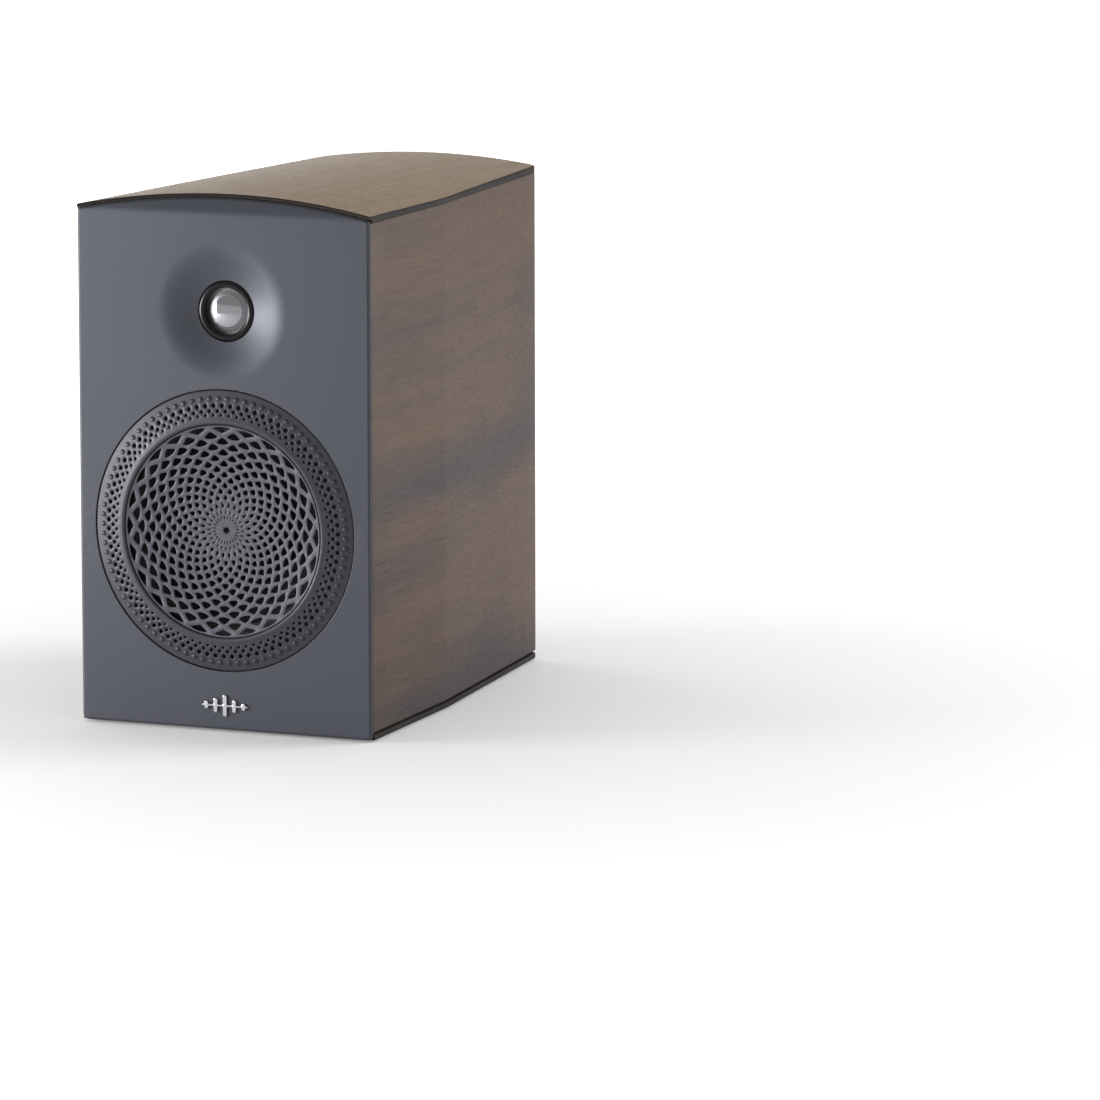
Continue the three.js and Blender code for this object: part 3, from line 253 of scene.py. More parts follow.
def makePiece(name, shape, body, finishes, standsFor=None, sharp=35, finishAt=None, holeShade=None):
    # A mesh of (points, groups of faces) on a body. finishAt picks a finish by the face's normal, and the
    # hole depth tells how deep in a hole each point is, which paints shade inside holes.
    points, groups = shape
    groups = [np.asarray(group) for group in groups if len(group)]
    used = np.unique(np.concatenate([group.ravel() for group in groups]))
    renumber = np.zeros(len(points), int)
    renumber[used] = np.arange(len(used))
    groups = [renumber[group] for group in groups]
    points = toRow(points[used])
    # Six times the volume is the sum over triangles of a . (b x c): a shape below zero is turned round.
    volume = 0
    for group in groups:
        for i in range(1, group.shape[1] - 1):
            volume += np.sum(points[group[:, 0]] * np.cross(points[group[:, i]], points[group[:, i + 1]]))
    if volume < 0:
        groups = [group[:, ::-1] for group in groups]
    corners = np.concatenate([group.ravel() for group in groups])
    sizes = np.concatenate([np.full(len(group), group.shape[1]) for group in groups])
    mesh = bpy.data.meshes.new(name)
    mesh.vertices.add(len(points))
    mesh.vertices.foreach_set("co", points.astype(np.float32).ravel())
    mesh.loops.add(len(corners))
    mesh.loops.foreach_set("vertex_index", corners.astype(np.int32))
    mesh.polygons.add(len(sizes))
    mesh.polygons.foreach_set("loop_start", (np.cumsum(sizes) - sizes).astype(np.int32))
    mesh.polygons.foreach_set("use_smooth", np.ones(len(sizes), bool))
    mesh.update(calc_edges=True)
    mesh.validate()
    finishes = finishes if isinstance(finishes, list) else [finishes]
    for material in finishes:
        mesh.materials.append(material)
    if finishAt is not None:
        normals = np.zeros(len(mesh.polygons) * 3)
        mesh.polygons.foreach_get("normal", normals)
        mesh.polygons.foreach_set("material_index", finishAt(normals.reshape(-1, 3)).astype(np.int32))
    if holeShade is not None:
        attribute = mesh.attributes.new("paintedHoleShade", "FLOAT", "POINT")
        attribute.data.foreach_set("value", holeShade[used].astype(np.float32))
    mesh.set_sharp_from_angle(angle=math.radians(sharp))
    piece = bpy.data.objects.new(name, mesh)
    scene.collection.objects.link(piece)
    if isinstance(body, str):
        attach(piece, body)
    if standsFor:
        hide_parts(*([standsFor] if isinstance(standsFor, str) else standsFor))
    return piece


softening = {"merge": 0.01, "flat": 1, "smooth": 30, "bevelled": 40}  # a millimetre figure and three angles


def softened(node, name, finish, width=0.5, segments=2, level=0):
    # A copy of a CAD node with its doubles merged and its flat triangles joined, then bevelled.
    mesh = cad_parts[node].data.copy()
    work = bmesh.new()
    work.from_mesh(mesh)
    bmesh.ops.remove_doubles(work, verts=work.verts, dist=softening["merge"] * 0.001)
    bmesh.ops.dissolve_limit(work, angle_limit=math.radians(softening["flat"]), verts=work.verts,
                             edges=work.edges)
    work.to_mesh(mesh)
    work.free()
    mesh.name = name
    mesh.materials.clear()
    mesh.materials.append(finish)
    mesh.polygons.foreach_set("use_smooth", np.ones(len(mesh.polygons), bool))
    mesh.set_sharp_from_angle(angle=math.radians(softening["smooth"]))
    piece = bpy.data.objects.new(name, mesh)
    scene.collection.objects.link(piece)
    if width:
        bevel = piece.modifiers.new("bevel", "BEVEL")
        bevel.width = width * 0.001
        bevel.segments = segments
        bevel.limit_method = "ANGLE"
        bevel.angle_limit = math.radians(softening["bevelled"])
        bevel.harden_normals = True
    if level:
        smooth = piece.modifiers.new("smooth", "SUBSURF")
        smooth.levels = smooth.render_levels = level
    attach(piece, "cabinet")
    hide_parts(node)
    return piece


# Node groups


def addNode(tree, kind, inputs=None, **settings):
    node = tree.nodes.new(kind)
    for key, value in settings.items():
        setattr(node, key, value)
    for key, value in (inputs or {}).items():
        if isinstance(value, bpy.types.NodeSocket):
            tree.links.new(value, node.inputs[key])
        else:
            node.inputs[key].default_value = value
    return node


def newGroup(name, inputs, outputs):
    tree = bpy.data.node_groups.new(name, "ShaderNodeTree")
    for label, value in inputs.items():
        kind = "Float" if isinstance(value, (int, float)) else "Color" if len(value) == 4 else "Vector"
        socket = tree.interface.new_socket(label, in_out="INPUT", socket_type="NodeSocket" + kind)
        socket.default_value = value
    for label in outputs:
        kind = "Color" if label == "Color" else "Float"
        tree.interface.new_socket(label, in_out="OUTPUT", socket_type="NodeSocket" + kind)
    return tree, tree.nodes.new("NodeGroupInput").outputs, tree.nodes.new("NodeGroupOutput").inputs


def scaled(tree, vector, scale):  # a vector times a fixed stretch
    return addNode(tree, "ShaderNodeVectorMath", {0: vector, 1: scale}, operation="MULTIPLY").outputs[0]


def noise(tree, vector, scale, detail=3.0, roughness=0.5, distortion=0.0):
    return addNode(tree, "ShaderNodeTexNoise", {
        "Vector": vector, "Scale": scale, "Detail": detail, "Roughness": roughness,
        "Distortion": distortion}).outputs["Fac"]


def ranged(tree, value, low, high, toLow=0.0, toHigh=1.0):
    return addNode(tree, "ShaderNodeMapRange", {
        "Value": value, "From Min": low, "From Max": high, "To Min": toLow, "To Max": toHigh}).outputs[0]


def maths(tree, operation, first, second=0.0):
    return addNode(tree, "ShaderNodeMath", {0: first, 1: second}, operation=operation).outputs[0]


def product(tree, *factors):
    result = factors[0]
    for factor in factors[1:]:
        result = maths(tree, "MULTIPLY", result, factor)
    return result


def weighed(tree, first, share, second):  # a share of the first value and the rest of the second
    return maths(tree, "ADD", product(tree, first, share), product(tree, second, 1 - share))


def mixed(tree, factor, first, second):  # from the first colour to the second
    node = addNode(tree, "ShaderNodeMix", {"Factor": factor, 6: first, 7: second}, data_type="RGBA")
    return node.outputs[2]


woodRepeats = {  # how often each part of the figure repeats in a metre: across, along the grain and up
    "bend": (9, 3, 9), "leaves": (15, 1.7, 15), "patches": (46, 4.5, 46), "figure": (160, 4.5, 160),
    "fine": (900, 14, 900), "pores": (2300, 60, 2300),
}


def woodFigureGroup():  # long grain along the depth, broad leaves of veneer across it, and short dark pores
    tree, given, made = newGroup("woodFigure", {
        "Vector": (0, 0, 0), "Light": (0.2, 0.15, 0.12, 1), "Dark": (0.1, 0.07, 0.06, 1),
        "Leaf": (0.15, 0.12, 0.13, 1), "Grain": 1.0, "Leaves": 1.0, "Gloss": 0.36,
    }, ["Color", "Roughness", "Height"])
    vector = given["Vector"]
    bend = noise(tree, scaled(tree, vector, woodRepeats["bend"]), 1, 2)
    sway = addNode(tree, "ShaderNodeCombineXYZ", {"X": bend, "Z": bend}).outputs[0]
    swayed = addNode(tree, "ShaderNodeVectorMath", {0: vector, 1: scaled(tree, sway, (0.012, 0, 0.012))},
                     operation="ADD").outputs[0]

    def figured(part, detail, roughness, distortion=0.0):
        return noise(tree, scaled(tree, swayed, woodRepeats[part]), 1, detail, roughness, distortion)

    leaves, patches = figured("leaves", 1.0, 0.4), figured("patches", 2, 0.5)
    figure, fine = figured("figure", 3, 0.55, 0.3), figured("fine", 2, 0.6)
    poreMask = ranged(tree, figured("pores", 1, 0.5), 0.60, 0.70)
    grain = product(tree, ranged(tree, weighed(tree, figure, 0.6, fine), 0.36, 0.64), given["Grain"])
    base = mixed(tree, grain, given["Light"], given["Dark"])
    leafMask = product(tree, ranged(tree, weighed(tree, leaves, 0.7, patches), 0.42, 0.60), given["Leaves"])
    toned = mixed(tree, leafMask, base, given["Leaf"])
    dark = mixed(tree, product(tree, poreMask, 0.38), toned, (0.02, 0.014, 0.012, 1))
    tree.links.new(dark, made["Color"])
    roughness = maths(tree, "ADD", given["Gloss"], ranged(tree, fine, 0.3, 0.7, -0.04, 0.06))
    tree.links.new(maths(tree, "ADD", roughness, product(tree, poreMask, 0.12)), made["Roughness"])
    height = maths(tree, "SUBTRACT", product(tree, fine, 0.35), product(tree, poreMask, 0.8))
    tree.links.new(height, made["Height"])
    return tree


def sprayGroup():  # the fine unevenness of a sprayed or moulded skin, and slow clouds of tone
    tree, given, made = newGroup("spray", {"Vector": (0, 0, 0), "Size": 2400.0, "Clouds": 14.0},
                                 ["Height", "Tone"])
    pimples = noise(tree, given["Vector"], given["Size"], 2, 0.55)
    waves = noise(tree, given["Vector"], product(tree, given["Size"], 0.16), 2, 0.5)
    tree.links.new(weighed(tree, pimples, 0.7, waves), made["Height"])
    clouds = noise(tree, given["Vector"], given["Clouds"], 3, 0.5)
    tree.links.new(ranged(tree, weighed(tree, clouds, 0.7, pimples), 0.32, 0.68), made["Tone"])
    return tree


def edgeWearGroup():  # where the surface turns sharply outwards, broken up by noise
    tree, given, made = newGroup("edgeWear", {"Vector": (0, 0, 0), "Amount": 0.5}, ["Mask"])
    bend = addNode(tree, "ShaderNodeNewGeometry").outputs["Pointiness"]
    edges = ranged(tree, bend, 0.52, 0.60)
    chips = ranged(tree, noise(tree, given["Vector"], 260, 4, 0.6), 0.42, 0.66)
    tree.links.new(product(tree, edges, chips, given["Amount"]), made["Mask"])
    return tree


def dustGroup():  # a thin film on faces that look up, in soft patches
    tree, given, made = newGroup("dust", {"Vector": (0, 0, 0), "Amount": 0.2}, ["Mask"])
    normal = addNode(tree, "ShaderNodeNewGeometry").outputs["Normal"]
    up = addNode(tree, "ShaderNodeSeparateXYZ", {0: normal}).outputs[2]
    patches = ranged(tree, noise(tree, given["Vector"], 34, 4, 0.65), 0.35, 0.75)
    specks = ranged(tree, noise(tree, given["Vector"], 1700, 2, 0.6), 0.60, 0.70)
    film = weighed(tree, patches, 0.7, specks)
    tree.links.new(product(tree, ranged(tree, up, 0.2, 1.0), film, given["Amount"]), made["Mask"])
    return tree


def turnedMarksGroup():  # fine rings left by a lathe round an axis that runs front to back
    tree, given, made = newGroup("turnedMarks", {"Vector": (0, 0, 0), "Pitch": 6000.0}, ["Height", "Tone"])
    parts = addNode(tree, "ShaderNodeSeparateXYZ", {0: given["Vector"]}).outputs
    flat = addNode(tree, "ShaderNodeCombineXYZ", {"X": parts[0], "Y": parts[2]}).outputs[0]
    radius = addNode(tree, "ShaderNodeVectorMath", {0: flat}, operation="LENGTH").outputs["Value"]
    line = addNode(tree, "ShaderNodeCombineXYZ", {
        "X": product(tree, radius, given["Pitch"]), "Y": product(tree, parts[1], given["Pitch"])}).outputs[0]
    marks = noise(tree, line, 1, 2, 0.6)
    tree.links.new(marks, made["Height"])
    tree.links.new(ranged(tree, marks, 0.3, 0.7), made["Tone"])
    return tree


woodFigure, spray, edgeWear = woodFigureGroup(), sprayGroup(), edgeWearGroup()
dust, turnedMarks = dustGroup(), turnedMarksGroup()

# Finishes


def groupIn(tree, group, inputs):
    return addNode(tree, "ShaderNodeGroup", inputs, node_tree=group).outputs


def newMaterial(name, fixed):
    material = bpy.data.materials.new(name)
    material.use_nodes = True
    tree = material.node_tree
    shader = tree.nodes["Principled BSDF"]
    for key, value in fixed.items():
        shader.inputs[key].default_value = value
    return material, tree, shader


def bumped(tree, shader, height, depth, strength=0.6):  # depth in millimetres
    bump = addNode(tree, "ShaderNodeBump",
                   {"Height": height, "Distance": depth * 0.001, "Strength": strength})
    tree.links.new(bump.outputs[0], shader.inputs["Normal"])


dustSettings = {"onWood": (0.42, 0.41, 0.39, 1), "onSkins": (0.42, 0.41, 0.40, 1), "roughens": 0.3}
# painted shade: the near-black colour laid inside small holes
paintedHoleShadow = (0.004, 0.004, 0.005, 1)


def veneer(name, settings):
    material, tree, shader = newMaterial(name, settings["shader"])
    place = addNode(tree, "ShaderNodeTexCoord").outputs["Object"]
    moved = addNode(tree, "ShaderNodeMapping", {"Vector": place, "Location": settings["shift"]}).outputs[0]
    wood = groupIn(tree, woodFigure, {"Vector": moved, **settings["wood"]})
    worn = groupIn(tree, edgeWear, {"Vector": place, "Amount": settings["wear"]})["Mask"]
    film = groupIn(tree, dust, {"Vector": place, "Amount": settings["dust"]})["Mask"]
    colour = mixed(tree, worn, wood["Color"], settings["wearColour"])
    tree.links.new(mixed(tree, film, colour, dustSettings["onWood"]), shader.inputs["Base Color"])
    tree.links.new(maths(tree, "ADD", wood["Roughness"], product(tree, film, dustSettings["roughens"])),
                   shader.inputs["Roughness"])
    bumped(tree, shader, wood["Height"], settings["depth"])
    return material


def skin(name, colour, shade, roughness, metallic=0.0, size=2400.0, depth=0.02, wear=0.3, wearColour=None,
         dusty=0.12, marks=0.0, spread=0.08, hollow=False, **fixed):
    # A sprayed, moulded, cast or turned surface: two tones, uneven gloss, worn edges and a little dust.
    material, tree, shader = newMaterial(name, fixed)
    place = addNode(tree, "ShaderNodeTexCoord").outputs["Object"]
    if marks:
        texture = groupIn(tree, turnedMarks, {"Vector": place, "Pitch": marks})
    else:
        texture = groupIn(tree, spray, {"Vector": place, "Size": size})
    worn = groupIn(tree, edgeWear, {"Vector": place, "Amount": wear})["Mask"]
    film = groupIn(tree, dust, {"Vector": place, "Amount": dusty})["Mask"]
    base = mixed(tree, texture["Tone"], (*colour, 1), (*shade, 1))
    base = mixed(tree, worn, base, (*(wearColour or [min(1, 2 * c + 0.05) for c in colour]), 1))
    base = mixed(tree, film, base, dustSettings["onSkins"])
    # Painted shade: hole walls and floors are darkened by how deep in the hole they lie.
    if hollow:  # the insides of small holes go dark with their depth
        inside = addNode(tree, "ShaderNodeAttribute", attribute_name="paintedHoleShade").outputs["Fac"]
        base = mixed(tree, inside, base, paintedHoleShadow)
    tree.links.new(base, shader.inputs["Base Color"])
    level = ranged(tree, texture["Tone"], 0, 1, roughness - spread, roughness + spread)
    tree.links.new(maths(tree, "ADD", level, product(tree, film, dustSettings["roughens"])),
                   shader.inputs["Roughness"])
    metal = maths(tree, "SUBTRACT", metallic, film)
    tree.links.new(maths(tree, "MAXIMUM", metal, 0.0), shader.inputs["Metallic"])
    bumped(tree, shader, texture["Height"], depth)
    return material


# The top and the sides carry one walnut veneer in two copies: the top's colours made lighter as painted
# light, the sides' darker as painted shade.
veneerSettings = {
    "sides": {
        "shift": (0.013, 0.021, 0.017), "wear": 0.35, "wearColour": (0.20, 0.14, 0.11, 1), "dust": 0.0,
        "depth": 0.02,
        "wood": {"Light": (0.098, 0.056, 0.034, 1), "Dark": (0.050, 0.031, 0.021, 1),
                 "Leaf": (0.034, 0.026, 0.029, 1), "Grain": 0.55, "Leaves": 0.95, "Gloss": 0.46},
        "shader": {"Coat Weight": 0.0, "Specular IOR Level": 0.28},
    },
    "top": {
        "shift": (0.31, 0.02, 0.13), "wear": 0.3, "wearColour": (0.26, 0.2, 0.16, 1), "dust": 0.05,
        "depth": 0.02,
        "wood": {"Light": (0.355, 0.232, 0.128, 1), "Dark": (0.245, 0.165, 0.096, 1),
                 "Leaf": (0.300, 0.212, 0.132, 1), "Grain": 0.6, "Leaves": 0.6, "Gloss": 0.42},
        "shader": {"Coat Weight": 0.0, "Specular IOR Level": 0.25},
    },
}
shadedSideVeneer = veneer("walnutSidesPaintedShade", veneerSettings["sides"])
litTopVeneer = veneer("walnutTopPaintedLight", veneerSettings["top"])

graphite = skin("graphitePaint", (0.062, 0.065, 0.083), (0.056, 0.059, 0.076), 0.45, 0.3, size=3800,
                depth=0.006, wear=0.2, wearColour=(0.22, 0.22, 0.24), dusty=0.03, spread=0.04)
# The ring and the lens below darken inside their holes: painted shade.
ringPaint = skin("ringPaint", (0.042, 0.043, 0.056), (0.036, 0.037, 0.049), 0.46, 0.3, size=3400, depth=0.008,
                 wear=0.25, wearColour=(0.24, 0.24, 0.26), dusty=0.06, hollow=True)
lensPaint = skin("lensPaint", (0.084, 0.086, 0.104), (0.074, 0.076, 0.093), 0.55, 0.15, size=3000,
                 depth=0.008, wear=0.25, wearColour=(0.26, 0.26, 0.28), dusty=0.05, hollow=True)
edgeBand = skin("edgeBandBrown", (0.020, 0.016, 0.015), (0.014, 0.011, 0.010), 0.5, size=2600, depth=0.012,
                wear=0.3, wearColour=(0.07, 0.06, 0.055), dusty=0.04, **{"Specular IOR Level": 0.12})
rawBoard = skin("fibreboard", (0.33, 0.22, 0.13), (0.24, 0.155, 0.09), 0.85, size=1500, depth=0.08, wear=0.2,
                dusty=0.2)
blackBoard = skin("rearBoardBlack", (0.020, 0.020, 0.021), (0.030, 0.029, 0.030), 0.62, size=1300, depth=0.07,
                  wear=0.5, wearColour=(0.10, 0.095, 0.09), dusty=0.15)
blackPlastic = skin("mouldedBlack", (0.018, 0.018, 0.019), (0.028, 0.028, 0.029), 0.48, size=2100, depth=0.03,
                    wear=0.35, dusty=0.14)
glossBlack = skin("glossBlack", (0.004, 0.004, 0.005), (0.006, 0.006, 0.007), 0.24, size=900, depth=0.004,
                  wear=0.15, dusty=0.04, spread=0.04, **{"Specular IOR Level": 0.25})
redPlastic = skin("redKnob", (0.42, 0.012, 0.010), (0.33, 0.008, 0.008), 0.26, size=1600, depth=0.01,
                  wear=0.3, wearColour=(0.6, 0.12, 0.1), dusty=0.12, **{"Coat Weight": 0.3})
darkKnob = skin("blackKnob", (0.016, 0.016, 0.017), (0.024, 0.024, 0.025), 0.27, size=1600, depth=0.01,
                wear=0.3, dusty=0.12, **{"Coat Weight": 0.3})
rubber = skin("softRubber", (0.020, 0.020, 0.021), (0.030, 0.029, 0.029), 0.72, size=1800, depth=0.03,
              wear=0.2, dusty=0.3, **{"Sheen Weight": 0.15})
castMetal = skin("castBasket", (0.060, 0.062, 0.066), (0.040, 0.041, 0.044), 0.52, 0.6, size=1100, depth=0.09,
                 wear=0.5, wearColour=(0.4, 0.4, 0.41))
steel = skin("zincSteel", (0.50, 0.50, 0.49), (0.40, 0.40, 0.40), 0.34, 1.0, marks=5200, depth=0.01,
             wearColour=(0.65, 0.65, 0.64), wear=0.3)
ferrite = skin("ferrite", (0.045, 0.045, 0.048), (0.030, 0.030, 0.032), 0.55, 0.2, size=1500, depth=0.05,
               wear=0.6, wearColour=(0.13, 0.13, 0.14))
gold = skin("goldPlate", (0.83, 0.58, 0.22), (0.74, 0.49, 0.17), 0.2, 1.0, marks=6500, depth=0.006, wear=0.2,
            wearColour=(0.9, 0.7, 0.4), dusty=0.06)
chrome = skin("chrome", (0.86, 0.87, 0.88), (0.78, 0.79, 0.81), 0.1, 1.0, size=900, depth=0.003, wear=0.1,
              wearColour=(0.9, 0.9, 0.9), dusty=0.03, spread=0.04)
# The guard mesh darkens inside its holes: painted shade.
meshSteel = skin("meshSteel", (0.30, 0.305, 0.32), (0.24, 0.245, 0.26), 0.34, 1.0, size=2500, depth=0.004,
                 wear=0.0, dusty=0.02, hollow=True)
polished = skin("polishedDisc", (0.42, 0.425, 0.44), (0.36, 0.365, 0.38), 0.07, 1.0, marks=5200, depth=0.002,
                wear=0.0, dusty=0.02, spread=0.03)
# The cone's own dark blue-grey, darkened further as painted shade behind the grille; the dust cap shares it.
coneShadedBlack = skin("conePolymerPaintedShade", (0.007, 0.0075, 0.009), (0.005, 0.0055, 0.007), 0.55, size=700,
                 depth=0.05, wear=0.0, dusty=0.0, **{"Specular IOR Level": 0.15})
spiderCloth = skin("spiderCloth", (0.45, 0.33, 0.13), (0.34, 0.24, 0.09), 0.85, size=1900, depth=0.12,
                   wear=0.1, dusty=0.1, **{"Sheen Weight": 0.25})
# The dome's own aluminium, darkened as painted shade for the shadow behind the guard.
domeMetalShaded = skin("domeAluminiumPaintedShade", (0.30, 0.31, 0.33), (0.25, 0.26, 0.28), 0.3, 1.0, marks=4200, depth=0.003,
                 wear=0.1, dusty=0.02)
boardGreen = skin("circuitBoard", (0.035, 0.12, 0.05), (0.025, 0.09, 0.04), 0.4, size=1700, depth=0.02,
                  wear=0.2, dusty=0.15, **{"Coat Weight": 0.4})
copper = skin("enamelledCopper", (0.62, 0.23, 0.10), (0.50, 0.17, 0.07), 0.28, 1.0, marks=5200, depth=0.01,
              wear=0.2, wearColour=(0.8, 0.45, 0.3), **{"Coat Weight": 0.5})
capacitorSkin = skin("capacitorFilm", (0.55, 0.36, 0.05), (0.47, 0.30, 0.04), 0.3, size=1100, depth=0.02,
                     wear=0.2, **{"Coat Weight": 0.3})
wadding = skin("polyesterWadding", (0.62, 0.62, 0.60), (0.48, 0.48, 0.47), 0.95, size=520, depth=1.2,
               wear=0.0, dusty=0.1, **{"Sheen Weight": 0.4, "Sheen Roughness": 0.6})
print("finishes: done")

# Cabinet

cabinet = {
    "frontHalfWidth": 98.5, "creaseHalfWidth": 94.5, "rearHalfWidth": 75.0, "crease": 122.5, "depth": 312.0,
    "sideHeight": 321.5, "archRise": 9.5, "topFall": 3.6, "wall": 15.0, "overhang": 0.8, "topLip": 2.0,
    "topEdge": 4.0, "browSlope": 0.526, "browSoftness": 1.3,
}
archRadius = (cabinet["frontHalfWidth"] ** 2 + cabinet["archRise"] ** 2) / (2 * cabinet["archRise"])
browStart = cabinet["sideHeight"] - cabinet["topLip"] - 0.3


def archTop(x):  # a circular arc through the two upper side edges
    x = np.asarray(x, float)
    return cabinet["sideHeight"] + cabinet["archRise"] - archRadius + np.sqrt(archRadius ** 2 - x ** 2)


def halfWidthAt(y):  # straight from the fascia to the crease, and steeper from there to the back
    return np.interp(y, [0, cabinet["crease"], cabinet["depth"]],
                     [cabinet["frontHalfWidth"], cabinet["creaseHalfWidth"], cabinet["rearHalfWidth"]])


def roundEdge(radius, steps=3):  # a quarter circle as (inset, drop) steps from face to wall
    turn = np.linspace(0, math.pi / 2, steps + 1)
    return [(radius * (1 - math.sin(a)), radius * (1 - math.cos(a))) for a in turn]


def mirroredLoop(right):  # points down the right side, then back up the left
    return np.concatenate([right, (right * [-1, 1])[::-1]])


def level(value):  # a flat face
    return lambda flat: np.full(len(flat), float(value))


def sidePanel(side):
    low, high = boxOf("side_panel_left")
    front = low[1]
    outer = np.array([[halfWidthAt(y), y] for y in (front, cabinet["crease"], cabinet["depth"])])
    inner = outer[::-1] - [cabinet["wall"], 0]
    # Plan, anticlockwise: front edge, outer face with its softened crease, rear edge, inner face.
    loop = rounded(np.concatenate([outer, inner]), [1, 5, 1.2, 0, 0, 0], 5)
    loop = spaced(loop, 30) * [side, 1]
    if side < 0:
        loop = loop[::-1]
    shape = slab([loop], level(high[2]), level(low[2]), [roundEdge(0.4)], [roundEdge(0.4)])
    name = "veneeredSideRight" if side > 0 else "veneeredSideLeft"
    return makePiece(name, shape, "cabinet", [shadedSideVeneer, edgeBand],
                     "side_panel_right" if side > 0 else "side_panel_left", sharp=60,
                     finishAt=lambda n: np.where((side * n[:, 0] > 0.55), 0, 1))


def topPlan():  # the top's outline: bowed front edge, tapering sides with the crease, round rear corners
    edge, rear = cabinet["overhang"], cabinet["depth"] + cabinet["overhang"]
    x = np.linspace(cabinet["frontHalfWidth"], -cabinet["frontHalfWidth"], 41)
    front = np.column_stack([x, 0.5 + cabinet["browSlope"] * (archTop(x) - cabinet["sideHeight"])])
    right = np.array([[halfWidthAt(y) + edge, y] for y in (2.6, 3.2, 8.2, 8.6, cabinet["crease"], rear)])
    sides = rounded(mirroredLoop(right), [0, 0, 0, 0, 5, 6, 6, 5, 0, 0, 0, 0], 6)
    return spaced(np.concatenate([front[::-1], sides]), 8)


def topSurface(flat):
    return archTop(flat[:, 0]) - cabinet["topFall"] * flat[:, 1] / cabinet["depth"]


def topUnderside(flat):  # a thin lip over the fascia, and a flat underside behind it
    step = np.where(np.abs(flat[:, 0]) > 86, 3.0, 8.4)
    return np.where(flat[:, 1] < step, topSurface(flat) - cabinet["topLip"],
                    cabinet["sideHeight"] - cabinet["topEdge"])


def topPanel():
    loop = topPlan()
    inner = gridInside([loop], 5, 9, 2.5)
    lip = [np.column_stack([np.linspace(-84, 84, 43), np.full(43, y)]) for y in (8.2, 8.6)]
    inner = awayFrom(np.concatenate([inner[inner[:, 1] > 13], *lip]), [loop], 1.0)
    shape = slab([loop], topSurface, topUnderside, [roundEdge(0.7, 4)], [roundEdge(0.3, 2)], inner)
    return makePiece("archedTop", shape, "cabinet", [litTopVeneer, edgeBand], "top_panel", sharp=50,
                     finishAt=lambda n: np.where(n[:, 2] > 0.82, 0, 1))


def bottomPanel():
    low = boxOf("bottom_panel")[0]
    edge, rear = cabinet["overhang"], cabinet["depth"] + cabinet["overhang"]
    right = np.array([[halfWidthAt(y) + edge, y] for y in (low[1], cabinet["crease"], rear)])
    loop = spaced(rounded(mirroredLoop(right), [1.5, 5, 6, 6, 5, 1.5], 6), 40)
    shape = slab([loop], level(3.5), level(0), [roundEdge(0.6)], [roundEdge(0.6)])
    return makePiece("bottomBand", shape, "cabinet", edgeBand, "bottom_panel", sharp=50)


# Painted shadow: a near-black strip set just inside the groove stands for the shade in the gap.
def grooveShadowStrip():  # the recessed strip between the bottom band and the veneer
    right = np.array([[halfWidthAt(y) - 1.5, y] for y in (6, cabinet["crease"], cabinet["depth"] - 1.5)])
    inner = right - [10, 0]
    loops = [mirroredLoop(right), mirroredLoop(inner + [[0, 8], [0, 0], [0, -10]])[::-1]]
    shape = slab(loops, level(4.9), level(3.4), [[(0, 0)]] * 2, [[(0, 0)]] * 2)
    return makePiece("paintedGrooveShadow", shape, "cabinet", edgeBand)


for side in (-1, 1):
    sidePanel(side)
topPanel()
bottomPanel()
grooveShadowStrip()
print("cabinet: sides, top and bottom")

# Fascia

wooferCentre = np.array([0, 124.0])
tweeterCentre = np.array([0, cabinet["sideHeight"] - 62.5])
fasciaShape = {
    "rim": 2.4, "bevel": 1.5, "corner": 4.0, "ringHole": 87.5, "dish": 40.0, "throat": 18.9, "dishDepth": 5.5,
}


def circle(radius, centre, count, turn=0.0):  # anticlockwise
    angle = turn + anglesRound(count)
    return np.column_stack([np.cos(angle), np.sin(angle)]) * radius + centre


def fasciaFront(flat):
    # Depth is the sum of the brow, a ramp whose start is a hyperbola's bend, and the dish, which falls
    # from nothing at its rim, ever more steeply, to the throat.
    rise = flat[:, 1] - browStart - 0.4
    soft = cabinet["browSoftness"]
    brow = cabinet["browSlope"] * (rise + np.sqrt(rise ** 2 + soft ** 2)) / 2
    brow = np.where(rise > -12, brow, 0) - cabinet["browSlope"] * (np.sqrt(144 + soft ** 2) - 12) / 2
    radius = np.linalg.norm(flat - tweeterCentre, axis=1)
    rim = fasciaShape["dish"] + 3
    share = np.clip((rim - radius) / (rim - fasciaShape["throat"]), 0, 1)
    return np.maximum(brow, 0) + fasciaShape["dishDepth"] * share ** 2 * (1.9 - 0.9 * share)


